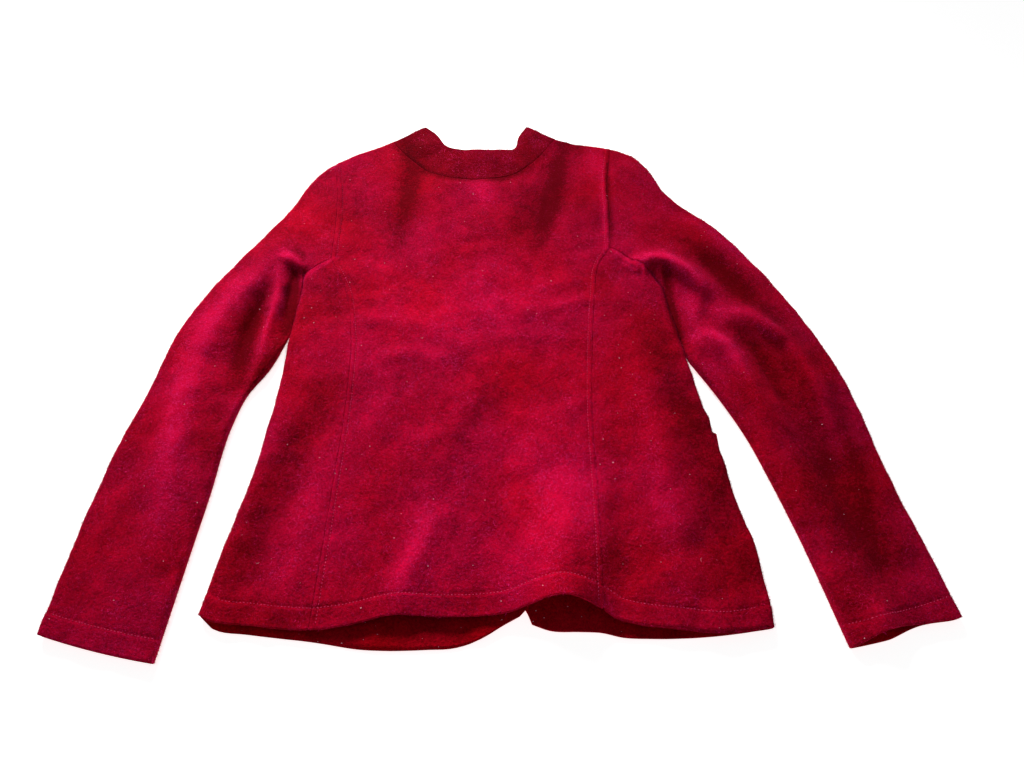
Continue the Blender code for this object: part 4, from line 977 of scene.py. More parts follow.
def cloth(node, *sheets):
    """One cut piece from its grids. Keeps both its sides, for the nap and the lint."""
    kind = PIECES[node].kind
    shell = Shell()
    for places, normals in sheets:
        shell.add(places, normals)
    points, faces, count = shell.wall()
    mesh = bpy.data.meshes.new(f"cloth_{node}")
    mesh.from_pydata(in_frame(points).tolist(), [], faces)
    mesh.materials.append(WOOLS[kind])
    mesh.materials.append(WOOLS["inside"])
    mesh.shade_smooth()
    sides = np.zeros(len(faces), np.int32)
    sides[len(shell.faces):2 * len(shell.faces)] = 1
    mesh.polygons.foreach_set("material_index", sides)
    # painted light and shade at the outer side's points, and the same at the inner side's
    painted_light_and_mottle = painted_light_of(points[:count, :2])
    set_painted_light(mesh, np.concatenate([painted_light_and_mottle, painted_light_and_mottle]))
    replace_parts(add_piece(mesh.name, mesh), node)
    faces, normals = np.array(shell.faces), np.array(shell.normals)
    OUTER[node] = (points[:count], normals, faces, painted_light_and_mottle)
    INNER[node] = (points[count:], -normals, faces, painted_light_and_mottle)


def upper(points, lift=0.0, folded=(), stitched=(), lowest=CROWN_LEAST):
    """Upper layer with its relief, which fades towards a fold."""
    places, normals = sheet(points, 1, lift, folded, lowest)
    flat = points.reshape(-1, 2)
    rise = np.clip((places[..., 2] - FOLD_HEIGHT) / (CROWN_LEAST - FOLD_HEIGHT), 0, 1)
    share = FOLD_RELIEF + (1 - FOLD_RELIEF) * rise
    amount = relief(flat, stitched).reshape(points.shape[:-1]) * share
    for pick in folded:
        amount[pick] = 0.0
    return places + amount[..., None] * normals, normals


# ---- seams shared by neighbours ----------------------------------------------------------

PRINCESS_SEAM = {side: run(smooth(PRINCESS[side]), BODY_ROWS, HEM_MARKS, SEAM_MARKS)
                 for side in SIDES}
ARMHOLE_SEAM = {side: run(smooth(ARMHOLE[side]), ARMHOLE_ROWS, ROLL) for side in SIDES}
FRONT_NECK_SEAM = {side: run(smooth(FRONT_NECK[side]), ARMHOLE_ROWS, (), ROLL)
                   for side in SIDES}
BACK_HEM_LINE = smooth(BACK_HEM)
HEMMED = [(BACK_HEM_LINE, BACK_HEM_DEPTH)]        # edges with a stitched hem
UNDERARM_SEAM = {side: np.array([PRINCESS_TOP[side], UNDERARM[side]]) for side in SIDES}


def side_seam(side):
    """Side seam, hem to underarm, drawing nearer to the fold on its way up."""
    fold = BODY_FOLD[side][::-1]
    reach = lengths(fold)[-1]
    rise = spread(reach, BODY_ROWS, HEM_MARKS, SEAM_MARKS) / reach
    line = at_shares(fold, rise)
    inward = at_shares(shifted(fold, -INWARD[side]), rise) - line
    distance = SIDE_SEAM_IN[side] * (1 - rise) + SIDE_SEAM_TOP * SIDE_SEAM_LEAN * rise
    line = line + inward * distance[:, None]
    hem = BACK_HEM_LINE if side == "right" else smooth(FRONT_HEM["left"])
    line[0] = hem[np.abs(hem[:, 0] - line[0, 0]).argmin()]
    seam = UNDERARM_SEAM[side]
    line[-1] = at(seam, lengths(seam)[-1] - SIDE_SEAM_TOP)
    return line


SIDE_SEAM = {side: side_seam(side) for side in SIDES}
SEWN = [(line, SEAM_ROUND) for seams in (PRINCESS_SEAM, ARMHOLE_SEAM, UNDERARM_SEAM)
        for line in seams.values()]
SEWN += [(smooth(BACK_NECK), SEAM_ROUND), (SIDE_SEAM["right"], FLAT_ROUND)]


def part_of(line, start, end):
    """Stretch of a line between two places on it."""
    reach = lengths(line)
    low, high = (reach[np.linalg.norm(line - place, axis=1).argmin()] for place in (start, end))
    inside = reach[(reach > low) & (reach < high)]
    piece = at(line, np.array([low, *inside, high]))
    piece[0], piece[-1] = start, end
    return piece


def fold_rows(side):
    """The body's fold, hem to underarm, with the rows of its pieces."""
    line = run(BODY_FOLD[side][::-1], BODY_ROWS, HEM_MARKS, SEAM_MARKS)
    line[-1] = UNDERARM[side]
    return line


def row_shares(left, right, columns):
    """Shares of a grid's columns along each row. columns is what spread takes."""
    widths = np.linalg.norm(right - left, axis=1)
    return np.array([spread(width, *columns) / width for width in widths])


def strip(bottom, right, top, left, gaps, columns):
    """Grid of a piece whose rows run between two sides that fold or are sewn."""
    bottom, right, top, left = inset_four(bottom, right, top, left, gaps)
    shares = row_shares(left, right, columns)
    return fill(at_shares(bottom, shares[0]), right, at_shares(top, shares[-1]), left, shares)


# ---- body --------------------------------------------------------------------------------

def dress_back_centre():
    """Centre back: hem, princess seams, armholes, shoulder folds and neck."""
    left = join(PRINCESS_SEAM["left"], ARMHOLE_SEAM["left"][::-1])
    right = join(PRINCESS_SEAM["right"], ARMHOLE_SEAM["right"][::-1])
    neck = run(smooth(BACK_NECK), NECK_COLUMNS, ROLL, ROLL)
    shoulder = {side: run(SHOULDER[side], SHOULDER_COLUMNS, (), SEAM_MARKS) for side in SIDES}
    top = [shoulder["left"][::-1], neck, shoulder["right"]]
    hem = part_of(BACK_HEM_LINE, left[0], right[0])
    count = sum(len(line) - 1 for line in top) - 1 - 2 * len(SEAM_MARKS)
    bottom = run(hem, count, SEAM_MARKS, SEAM_MARKS)
    outline = [bottom, right] + [line[::-1] for line in reversed(top)] + [left[::-1]]
    gaps = [0.0, HALF_GAP, FOLD_SEAM, HALF_GAP, FOLD_SEAM, HALF_GAP]
    bottom, right, *top, left = inset(outline, gaps)
    top = join(*top)[::-1]
    left = left[::-1]
    grid = fill(bottom, right, top, left, blend_shares(bottom, top, len(left)))
    stitched = [(ARMHOLE_SEAM[side], ARMHOLE_STITCH) for side in SIDES]
    stitched += [(PRINCESS_SEAM[side], PRINCESS_STITCH) for side in SIDES]
    cloth("back_centre", upper(grid, stitched=stitched))


def dress_back_side_left():
    """Left side-back panel, which turns under at the side as far as its side seam."""
    fold, princess = fold_rows("left"), PRINCESS_SEAM["left"]
    hem = part_of(BACK_HEM_LINE, fold[0], princess[0])
    gaps = [0, HALF_GAP, HALF_GAP, 0]
    grid = strip(hem, princess, UNDERARM_SEAM["left"][::-1], fold, gaps,
                 (SIDE_COLUMNS, ROLL, SEAM_MARKS))
    side = SIDE_SEAM["left"]
    lower = strip(np.array([fold[0], side[0]]), side, np.array([fold[-1], side[-1]]), fold,
                  gaps, (UNDER_COLUMNS, ROLL))
    lower[:, 0] = grid[:, 0]
    folded = [(ALL, 0)]
    cloth("back_side_left", upper(grid, folded=folded), sheet(lower, -1, folded=folded))


def dress_back_side_right():
    """Right side-back panel, whose side seam shows on top."""
    princess, side = PRINCESS_SEAM["right"], SIDE_SEAM["right"]
    hem = part_of(BACK_HEM_LINE, princess[0], side[0])
    top = np.array([princess[-1], side[-1]])
    grid = strip(hem, side, top, princess, [0, HALF_FLAT_GAP, HALF_GAP, HALF_GAP],
                 (SIDE_COLUMNS, SEAM_MARKS, SIDE_MARKS))
    cloth("back_side_right", upper(grid))


FRONT_EDGE = {side: np.concatenate([smooth(FRONT_CORNER[side]), [FRONT_TOP[side]]])
              for side in SIDES}


def lap_floor(side, points):
    """How far a front is lifted beside its edge, by the buttons and by the other front."""
    x, y = points[..., 0], points[..., 1]
    edge = FRONT_EDGE[side]
    behind = np.interp(y, edge[:, 1], edge[:, 0]) - x
    if side == "left":
        lift = WALL + GAP + (BUTTON_THICK + GAP) * band(y, LEFT_LIFT_Y)
        return lift * (1 - ramp(behind, LEFT_LAP_FLAT, LEFT_LAP_END))
    lift = (BUTTON_THICK + GAP) * band(y, RIGHT_LIFT_Y)
    return lift * (1 - ramp(-behind, RIGHT_LAP_FLAT, RIGHT_LAP_END))


def front_grid(side, lower, gaps, fold):
    """Lower layer of one front, its rows running from the front edge to the side."""
    stretch = steps(np.array([lower[-1], PRINCESS_TOP[side]]), STRETCH_ROWS)
    front = run(FRONT_EDGE[side], len(lower) + STRETCH_ROWS - 2 - len(EDGE_MARKS), EDGE_MARKS)
    neck = FRONT_NECK_SEAM[side]
    armhole = ARMHOLE_SEAM[side][::-1]
    hem = part_of(smooth(FRONT_HEM[side])[::-1], front[0], lower[0])
    loop = [hem, lower, stretch, armhole, SHOULDER[side][::-1], neck[::-1], front[::-1]]
    gaps = [0.0, *gaps, HALF_GAP, FOLD_SEAM, HALF_GAP, 0.0]
    hem, lower, stretch, armhole, top, neck, front = inset_side(side, loop, gaps)
    outside = join(lower, stretch, armhole)
    inside = join(front[::-1], neck[::-1])
    end = ROLL if fold else EDGE_MARKS
    shares = row_shares(inside, outside, (FRONT_COLUMNS, EDGE_MARKS, end))
    hem, top = at_shares(hem, shares[0]), at_shares(top[::-1], shares[-1])
    return fill(hem, outside, top, inside, shares)


def pocket_lift(side, grid):
    """Height of a front over the pocket beneath it, with soft slopes round the pocket."""
    low, high = (np.array(corner)[:2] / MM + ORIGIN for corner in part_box(f"pocket_{side}"))
    if side == "right":
        high[0] += POCKET_SLOPE          # its side lies on the fold
    limits = [(a - POCKET_SLOPE, a - POCKET_ROOM, b + POCKET_ROOM, b + POCKET_SLOPE)
              for a, b in zip(low, high)]
    over = band(grid[..., 0], limits[0]) * band(grid[..., 1], limits[1])
    return (WALL + GAP) * over


def front_floor(side, grid):
    """What a front lies on: its lap, its pocket, and a soft ripple where its inside shows."""
    ripple = RIPPLE * (1 + waves(grid.reshape(-1, 2), *RIPPLE_WAVES)).reshape(grid.shape[:-1])
    ripple = np.clip(ripple, 0, None) * (1 - ramp(grid[..., 1], *RIPPLE_FADE))
    return np.maximum(lap_floor(side, grid), pocket_lift(side, grid)) + ripple


def dress_front_left():
    """Left front, which lies on the right one."""
    grid = front_grid("left", SIDE_SEAM["left"], [HALF_GAP, HALF_GAP], False)
    cloth("front_left", sheet(grid, -1, front_floor("left", grid)))


def dress_front_right():
    """Right front, which turns up at the side as far as its side seam."""
    fold = fold_rows("right")
    grid = front_grid("right", fold, [0.0, HALF_GAP], True)
    side = SIDE_SEAM["right"]
    hem = part_of(BACK_HEM_LINE, side[0], fold[0])
    top = np.array([side[-1], fold[-1]])
    over = strip(hem, fold, top, side, [0, 0, HALF_GAP, HALF_FLAT_GAP],
                 (OVER_COLUMNS, SIDE_MARKS, ROLL))
    rows = len(fold)
    over[:, -1] = grid[:rows, -1]
    lift = pocket_lift("right", over)
    under = [(slice(0, rows), -1)]
    cloth("front_right", upper(over, lift, [(ALL, -1)]),
          sheet(grid, -1, front_floor("right", grid), under))


# ---- sleeves, collar, pockets and buttons ------------------------------------------------

def cuff_line(side):
    """Cuff edge from the sleeve's outer fold to its inner one, a little bowed."""
    start, end = np.array(CUFF_OUTSIDE[side]), np.array(CUFF_INSIDE[side])
    share = np.linspace(0, 1, CURVE_STEPS + 1)[:, None]
    way = end - start
    out = np.array([way[1], -way[0]]) * INWARD[side] / math.hypot(*way)
    return start + share * way + out * CUFF_BOW * 4 * share * (1 - share)


CUFF = {side: cuff_line(side) for side in SIDES}


def gaping(grid, gape):
    """The grid drawn up the sleeve round a place where its cuff stands open."""
    x, y, reach, amount = gape
    distance = np.linalg.norm(grid - (x, y), axis=-1) / reach
    weight = np.clip(1 - distance**2, 0, 1)**2
    return grid + amount * weight[..., None] * GAPE_WAY


HEMMED += [(CUFF[side], CUFF_DEPTH) for side in SIDES]
UNDERARM_LINE = smooth(UNDERARM_ROUTE)


def dress_sleeve(side):
    """Sleeve tube laid flat: an upper and a lower layer over one plan, folded at both edges."""
    outside = SLEEVE_OUTSIDE[side]
    total = lengths(outside)[-1]
    split = SLIT_SHARE * total
    slit = run(UNDERARM_SEAM[side], SLIT_ROWS, SEAM_MARKS)
    share = spread(split, SLIT_ROWS, SEAM_MARKS)
    below = split + spread(total - split, SLEEVE_ROWS, (), HEM_MARKS)[1:]
    outer = at(outside, np.concatenate([share, below]))
    inner = run(SLEEVE_FOLD[side], SLEEVE_ROWS, (), HEM_MARKS)
    inner[0] = slit[-1]
    armhole = run(smooth(ARMHOLE[side]), SLEEVE_COLUMNS, ROLL, ROLL)
    cuff = CUFF[side]
    loop = [armhole, slit, inner, cuff[::-1], outer[::-1]]
    gaps = [HALF_GAP, HALF_GAP, 0, 0, 0]
    armhole, slit, inner, cuff, outer = inset_side(side, loop, gaps)
    cuff, outer = cuff[::-1], outer[::-1]
    inside = join(slit, inner)
    first = len(slit) - 1
    inside[first] = SLEEVE_FOLD[side][0]
    folds = [(ALL, 0), (slice(first, None), -1)]
    shares = row_shares(outer, inside, (SLEEVE_COLUMNS, ROLL, ROLL))
    shares[0] = shares_of(armhole)
    grid = fill(armhole, inside, at_shares(cuff, shares[-1]), outer, shares)
    over = under = grid
    if side == "right":
        over = gaping(gaping(grid, UPPER_GAPE), LOWER_GAPE)
        under = gaping(grid, LOWER_GAPE)
    cloth(f"sleeve_{side}", upper(over, folded=folds, lowest=SLEEVE_LEAST),
          sheet(under, -1, folded=folds))


def collar_grid(seam, top, ends, marks):
    """Stretch of the collar between its seam, its top and both its ends."""
    start, end = (run(line, COLLAR_ROWS, SEAM_MARKS[:4], EDGE_MARKS) for line in ends)
    seam, top = (run(smooth(line), NECK_COLUMNS, *marks) for line in (seam, top))
    seam, end, top, start = inset_four(seam, end, top, start, [HALF_GAP, 0, 0, 0])
    return fill(seam, end, top, start, blend_shares(seam, top, len(start)))


def dress_collar():
    """Stand collar lying flat: a band from one front edge round the back to the other."""
    folds = {side: line[::-1] for side, line in COLLAR_FOLD.items()}
    cut = {side: np.array([FRONT_NECK[side][0], COLLAR_FRONT_TOP[side][0]], float)
           for side in SIDES}
    back = collar_grid(BACK_NECK, COLLAR_TOP, (folds["left"], folds["right"]), (ROLL, ROLL))
    right = collar_grid(FRONT_NECK["right"], COLLAR_FRONT_TOP["right"],
                        (cut["right"], folds["right"]), ((), ROLL))
    left = collar_grid(FRONT_NECK["left"][::-1], COLLAR_FRONT_TOP["left"][::-1],
                       (folds["left"], cut["left"]), (ROLL, ()))
    right[:, -1] = back[:, -1]
    left[:, 0] = back[:, 0]
    cloth("collar", upper(back, folded=[(ALL, 0), (ALL, -1)]),
          sheet(right, -1, lap_floor("right", right), [(ALL, -1)]),
          sheet(left, -1, lap_floor("left", left), [(ALL, 0)]))


def dress_pocket(side):
    """Patch pocket on its solid's own faces, with soft edges."""
    node = f"pocket_{side}"
    built = bmesh.new()
    built.from_mesh(bpy.data.objects[node].data)
    bmesh.ops.remove_doubles(built, verts=built.verts, dist=POCKET_WELD * MM)
    sharp = [edge for edge in built.edges if len(edge.link_faces) == 2
             and edge.calc_face_angle() > math.radians(POCKET_SHARP)]
    bmesh.ops.bevel(built, geom=sharp, offset=POCKET_EDGE * MM, segments=3, profile=0.5,
                    affect="EDGES", clamp_overlap=True)
    mesh = bpy.data.meshes.new(f"cloth_{node}")
    built.to_mesh(mesh)
    built.free()
    mesh.materials.clear()
    mesh.materials.append(WOOLS["pocket"])
    mesh.polygons.foreach_set("material_index", [0] * len(mesh.polygons))
    mesh.shade_smooth()
    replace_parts(add_piece(mesh.name, mesh), node)


def dress_buttons():
    """The buttons are their solids, in horn."""
    horn = horn_material()
    for number in range(1, BUTTONS + 1):
        for slot in bpy.data.objects[f"button_{number}"].material_slots:
            slot.material = horn


# ---- materials ---------------------------------------------------------------------------

# base colour, linear, of each kind of piece: one red wool, whose fronts show their inside
WOOL_COLOURS = {
    "back": (0.430, 0.0006, 0.024),
    "side": (0.410, 0.0006, 0.023),
    "front": (0.410, 0.0006, 0.023),
    "sleeve": (0.420, 0.0007, 0.024),
    # the collar is the same wool, with painted shade in its darker base colour
    "collar": (0.235, 0.0004, 0.009),
    "pocket": (0.400, 0.0006, 0.019),
    "inside": (0.400, 0.0005, 0.010),
}
WOOL_DARK = (0.38, 0.3, 0.26)     # of the base colour, at the darkest of painted shade and random mottling
WOOL_LIGHT = (1.62, 2.4, 1.9)     # and at the lightest of painted light and random mottling
PURER = (1.0, 0.55, 0.45, 1.0)    # what takes blue out of a colour
SHEEN_TINT = (1.0, 0.04, 0.28, 1.0)
PAINTED_LIGHT_SHARE = 0.40         # how much full painted light lightens the wool, and full painted shade darkens it
PAINTED_SHADE_PURER = 0.10         # and how much painted shade adds of the purer red, and painted light takes away


def feed(tree, node, inputs):
    """Set a node's inputs to values, or link them to other nodes' outputs."""
    for key, value in inputs.items():
        if isinstance(value, bpy.types.NodeSocket):
            tree.links.new(value, node.inputs[key])
        else:
            node.inputs[key].default_value = value


def add_node(tree, kind, inputs, **settings):
    """A shader node with its settings and inputs."""
    made = tree.nodes.new(kind)
    for key, value in settings.items():
        setattr(made, key, value)
    feed(tree, made, inputs)
    return made


def noise(tree, where, scale, detail, roughness):
    """A cloudy texture over some places."""
    inputs = {"Vector": where, "Scale": scale, "Detail": detail, "Roughness": roughness}
    return add_node(tree, "ShaderNodeTexNoise", inputs).outputs["Fac"]


def mapped(tree, value, to_low, to_high, low=0.3, high=0.7):
    """A value brought from one range to another. Noise lies mostly between 0.3 and 0.7."""
    inputs = {"Value": value, "From Min": low, "From Max": high, "To Min": to_low,
              "To Max": to_high}
    return add_node(tree, "ShaderNodeMapRange", inputs).outputs["Result"]


def combine(tree, operation, first, second):
    """Two values added, subtracted or multiplied."""
    return add_node(tree, "ShaderNodeMath", {0: first, 1: second}, operation=operation).outputs[0]


def mixed(tree, share, first, second, blend="MIX"):
    """A colour between two, or blended from them, by a share."""
    made = add_node(tree, "ShaderNodeMix", {"Factor": share}, data_type="RGBA",
                    blend_type=blend)
    colours = [key for key, socket in enumerate(made.inputs) if socket.type == "RGBA"]
    feed(tree, made, dict(zip(colours, (first, second))))
    return next(out for out in made.outputs if out.type == "RGBA")


def bumped(tree, height, distance, strength, before=None):
    """A normal that shows a texture as relief, on top of another one's."""
    inputs = {"Height": height, "Distance": distance, "Strength": strength}
    if before is not None:
        inputs["Normal"] = before
    return add_node(tree, "ShaderNodeBump", inputs).outputs["Normal"]


def painted_light_and_mottle(tree, share):
    """The painted light and shade that a mesh keeps at its points, with the nap's random tone,
    times a share.
    """
    stored = add_node(tree, "ShaderNodeAttribute", {}, attribute_name="painted_light_and_mottle").outputs["Fac"]
    return combine(tree, "MULTIPLY", stored, share)


def purer(tree, where, colour):
    """The colour with less blue in it, in broad patches and where shade is painted; painted light
    keeps more blue.
    """
    patches = combine(tree, "SUBTRACT", noise(tree, where, 10, 1.0, 0.5), painted_light_and_mottle(tree, PAINTED_SHADE_PURER))
    return mixed(tree, mapped(tree, patches, 0.0, 1.0, 0.36, 0.68), colour, PURER, "MULTIPLY")


def new_material(name):
    """A material, its node tree and its shader."""
    made = bpy.data.materials.new(name)
    made.use_nodes = True
    return made, made.node_tree, made.node_tree.nodes["Principled BSDF"]


def object_places(tree):
    return add_node(tree, "ShaderNodeTexCoord", {}).outputs["Object"]


def wool_material(kind):
    """Boiled wool: felted loops about 1 mm wide under a short nap, in uneven red, with painted
    light and shade.
    """
    made, tree, shader = new_material(f"{kind}_boiled_wool")
    where = object_places(tree)
    grain = noise(tree, where, 900, 3.0, 0.6)
    tufts = noise(tree, where, 380, 2.0, 0.55)
    clouds = noise(tree, where, 60, 3.0, 0.6)
    patches = noise(tree, where, 14, 2.0, 0.5)
    # painted light and shade, with random mottling, set where the wool lies between its dark and
    # light colours
    share = combine(tree, "ADD", painted_light_and_mottle(tree, PAINTED_LIGHT_SHARE), 0.5)
    for texture, reach in ((grain, 0.11), (tufts, 0.21), (clouds, 0.16), (patches, 0.10)):
        share = combine(tree, "ADD", share, mapped(tree, texture, -reach, reach))
    dark, light = ([*np.minimum(np.multiply(WOOL_COLOURS[kind], part), 1.0), 1.0]
                   for part in (WOOL_DARK, WOOL_LIGHT))
    feed(tree, shader, {
        "Base Color": purer(tree, where, mixed(tree, share, dark, light)),
        "Roughness": mapped(tree, tufts, 0.88, 0.98),
        "Specular IOR Level": 0.015,
        "Sheen Weight": 0.03 if kind == "inside" else 0.12,
        "Sheen Roughness": 0.45,
        "Sheen Tint": SHEEN_TINT,
        "Normal": bumped(tree, tufts, 0.0011, 0.8, bumped(tree, grain, 0.0006, 0.6)),
    })
    return made


def fibre_material(name, dark, light, sheen, dyed=False):
    """Fine fibres: their colour differs from hair to hair, and follows any painted light and shade
    kept at their points.
    """
    made, tree, shader = new_material(name)
    where = object_places(tree)
    share = combine(tree, "ADD", painted_light_and_mottle(tree, PAINTED_LIGHT_SHARE), 0.5)
    share = combine(tree, "ADD", share, mapped(tree, noise(tree, where, 500, 2.0, 0.6), -0.5, 0.5))
    colour = mixed(tree, share, dark, light)
    feed(tree, shader, {
        "Base Color": purer(tree, where, colour) if dyed else colour,
        "Roughness": 0.9,
        "Specular IOR Level": 0.05,
        "Sheen Weight": sheen,
        "Sheen Tint": SHEEN_TINT,
    })
    return made


def horn_material():
    """Dark red horn: soft streaks under a dull polish, with fine scratches."""
    made, tree, shader = new_material("dark_red_horn")
    stretch = {"Vector": object_places(tree), "Scale": (1.0, 5.0, 1.0)}
    along = add_node(tree, "ShaderNodeMapping", stretch)
    streaks = noise(tree, along.outputs["Vector"], 120, 4.0, 0.6)
    scratches = noise(tree, along.outputs["Vector"], 1800, 2.0, 0.5)
    feed(tree, shader, {
        "Base Color": mixed(tree, mapped(tree, streaks, 0.0, 1.0), (0.012, 0.002, 0.004, 1.0),
                            (0.085, 0.010, 0.018, 1.0)),
        "Roughness": mapped(tree, scratches, 0.28, 0.46),
        "Coat Weight": 0.25,
        "Coat Roughness": 0.3,
        "Normal": bumped(tree, scratches, 0.0001, 0.5),
    })
    return made


WOOLS = {kind: wool_material(kind) for kind in WOOL_COLOURS}
# nap hairs: dark where shade is painted, light where light and the curls' highlight are painted,
# with random tone between
NAP = fibre_material("wool_nap", (0.19, 0.0004, 0.008, 1.0), (0.90, 0.020, 0.208, 1.0), 0.08,
                     dyed=True)
LINT = fibre_material("pale_lint", (0.80, 0.22, 0.34, 1.0), (1.0, 0.72, 0.82, 1.0), 0.0)
THREAD = fibre_material("sewing_thread", (0.60, 0.018, 0.095, 1.0), (0.92, 0.090, 0.250, 1.0),
                        0.1)

# ---- nap, lint and stitches --------------------------------------------------------------

def loose(name, corners, finish, painted_light_and_mottle=None):
    """A piece made of separate triangles, from their corners."""
    mesh = bpy.data.meshes.new(name)
    mesh.vertices.add(len(corners))
    mesh.vertices.foreach_set("co", in_frame(corners).reshape(-1))
    mesh.loops.add(len(corners))
    mesh.loops.foreach_set("vertex_index", np.arange(len(corners)))
    mesh.polygons.add(len(corners) // 3)
    mesh.polygons.foreach_set("loop_start", np.arange(0, len(corners), 3))
    mesh.update(calc_edges=True)
    mesh.materials.append(finish)
    if painted_light_and_mottle is not None:
        set_painted_light(mesh, painted_light_and_mottle)
    add_piece(name, mesh)


def face_areas(corners):
    """Areas of four-sided faces, from the places of their corners."""
    across = np.cross(corners[:, 2] - corners[:, 0], corners[:, 3] - corners[:, 1])
    return np.linalg.norm(across, axis=1) / 2


def scattered(surface, rng, count):
    """Random places over a surface, with its normal and painted light and shade there."""
    points, normals, faces, painted_light_and_mottle = surface
    corners = points[faces]
    areas = face_areas(corners)
    chosen = rng.choice(len(faces), count, p=areas / areas.sum())
    u, v = rng.random((2, count, 1))
    weights = np.stack([(1 - u) * (1 - v), u * (1 - v), u * v, (1 - u) * v], axis=1)
    places = (corners[chosen] * weights).sum(1)
    facing = unit((normals[faces[chosen]] * weights).sum(1))
    return places, facing, (painted_light_and_mottle[faces[chosen]] * weights[..., 0]).sum(1)


def hairs(rng, places, facing, sort):
    """Thin triangles that lean every way over the cloth."""
    count = len(places)
    lean = rng.normal(size=(count, 3))
    lean = unit(lean - (lean * facing).sum(1)[:, None] * facing)
    angle = np.radians(rng.uniform(*sort.rise, (count, 1)))
    way = np.cos(angle) * lean + np.sin(angle) * facing
    across = np.cross(way, facing)
    across *= rng.uniform(*sort.width, (count, 1)) / 2
    tips = places + rng.uniform(*sort.length, (count, 1)) * way
    corners = np.stack([places - across, places + across, tips], axis=1)
    corners[..., 2] = np.maximum(corners[..., 2], NAP_LOWEST)
    return corners.reshape(-1, 3)


def add_nap(node, seed):
    """Short hairs over a piece's outer side where it doesn't face the surface below."""
    rng = np.random.default_rng(seed)
    surface, kind = OUTER[node], PIECES[node].kind
    area = face_areas(surface[0][surface[2]]).sum()
    corners, painted_lights_and_mottles = [], []
    for sort, share in ((SHORT_NAP, NAP_PER_AREA[kind]), (CURLS, CURLS_PER_AREA),
                        (FRINGE, FRINGE_PER_AREA)):
        places, facing, painted_light_and_mottle = scattered(surface, rng, min(NAP_MOST, int(share * area)))
        seen = (facing[:, 2] > NAP_DOWN) & (facing[:, 2] <= sort.facing)
        if sort is CURLS:
            # curls lie mostly where light is painted, in uneven patches
            patches = CURL_PATCHES * waves(places[:, :2], *CURL_WAVES)
            seen &= painted_light_and_mottle + patches > rng.random(len(painted_light_and_mottle))
        corners.append(hairs(rng, places[seen], facing[seen], sort))
        # each hair takes the painted light and shade under it, the curls' painted highlight, and
        # random tone of its own and of its tuft
        painted_light_and_mottle = painted_light_and_mottle[seen] + sort.lighter + NAP_SPREAD * rng.normal(size=seen.sum())
        painted_light_and_mottle += NAP_TUFTS * waves(places[seen, :2], seed, *TUFT_WAVES)
        painted_lights_and_mottles.append(np.repeat(painted_light_and_mottle, 3))
    loose(f"nap_{node}", np.concatenate(corners), NAP, np.concatenate(painted_lights_and_mottles))


def speck(rng, place, facing):
    """A small flattened knot of fluff: eight triangles round six points."""
    turn = Vector(facing).to_track_quat("Z", "Y").to_matrix()
    size = rng.uniform(*SPECK_SIZE)
    reach = size * rng.uniform(*SPECK_UNEVEN, 6) * SPECK_FLAT
    ways = [(1, 0, 0), (0, 1, 0), (-1, 0, 0), (0, -1, 0), (0, 0, 1), (0, 0, -1)]
    tips = [np.array(turn @ Vector(way)) * far + place for way, far in zip(ways, reach)]
    corners = []
    for k in range(4):
        corners += [tips[k], tips[(k + 1) % 4], tips[4], tips[(k + 1) % 4], tips[k], tips[5]]
    return corners


def lint_hair(rng, place, facing):
    """A curled hair lying on the cloth, as a thin strip."""
    heading = rng.uniform(0, 2 * math.pi)
    turn = rng.uniform(-LINT_HAIR_CURL, LINT_HAIR_CURL)
    step = rng.uniform(*LINT_HAIR_LENGTH) / LINT_HAIR_STEPS
    corners = []
    here = np.array(place) + LINT_HAIR_LIFT * facing
    for _ in range(LINT_HAIR_STEPS):
        way = np.array([math.cos(heading), math.sin(heading), 0.0])
        way -= (way @ facing) * facing
        there = here + step * way
        side = np.cross(way, facing) * LINT_HAIR_WIDTH / 2
        corners += [here - side, here + side, there + side,
                    here - side, there + side, there - side]
        here = there
        heading += turn
    return corners


def add_lint():
    """Specks over the back and where the fronts' inside shows, and a few hairs."""
    rng = np.random.default_rng(LINT_SEED)
    corners = []
    for sort, surfaces in ((OUTER_SPECKS, OUTER), (INNER_SPECKS, INNER)):
        for node, count in sort.counts.items():
            places, facing, _ = scattered(surfaces[node], rng, sort.tries * count)
            seen = facing[:, 2] > sort.facing
            if sort is INNER_SPECKS:
                hem = np.interp(places[:, 0], BACK_HEM_LINE[:, 0], BACK_HEM_LINE[:, 1])
                seen &= places[:, 1] < hem + INNER_HEM
            for k in np.where(seen)[0][:count]:
                corners += speck(rng, places[k] + sort.lift * facing[k], facing[k])
    for node in LINT_HAIRS:
        places, facing, _ = scattered(OUTER[node], rng, 1)
        if facing[0, 2] > LINT_HAIR_FACING:
            corners += lint_hair(rng, places[0], facing[0])
    loose("lint", np.array(corners), LINT)


def surface_tree(nodes):
    """Tree of the outer sides of some pieces, to find the cloth under a stitch."""
    points, faces, count = [], [], 0
    for node in nodes:
        places, _, quads, _ = OUTER[node]
        points.append(places)
        faces += (quads + count).tolist()
        count += len(places)
    return BVHTree.FromPolygons(np.concatenate(points).tolist(), faces)


def stitches(name, lines, tree):
    """Topstitches along lines in plan, each a small bead of thread pressed into the cloth."""
    corners = []
    for line in lines:
        total = lengths(line)[-1]
        starts = np.arange(STITCH_PITCH / 2, total - STITCH_PITCH, STITCH_PITCH)
        ends = at(line, starts + STITCH_LENGTH)
        for start, end in zip(at(line, starts), ends):
            hits = [tree.ray_cast(Vector((x, y, ABOVE_ALL)), Vector((0, 0, -1)))
                    for x, y in (start, end)]
            if any(hit[0] is None for hit in hits):
                continue
            (head, normal, *_), (tail, *_) = hits
            corners += bead(np.array(head), np.array(tail), np.array(normal))
    loose(name, np.array(corners), THREAD)


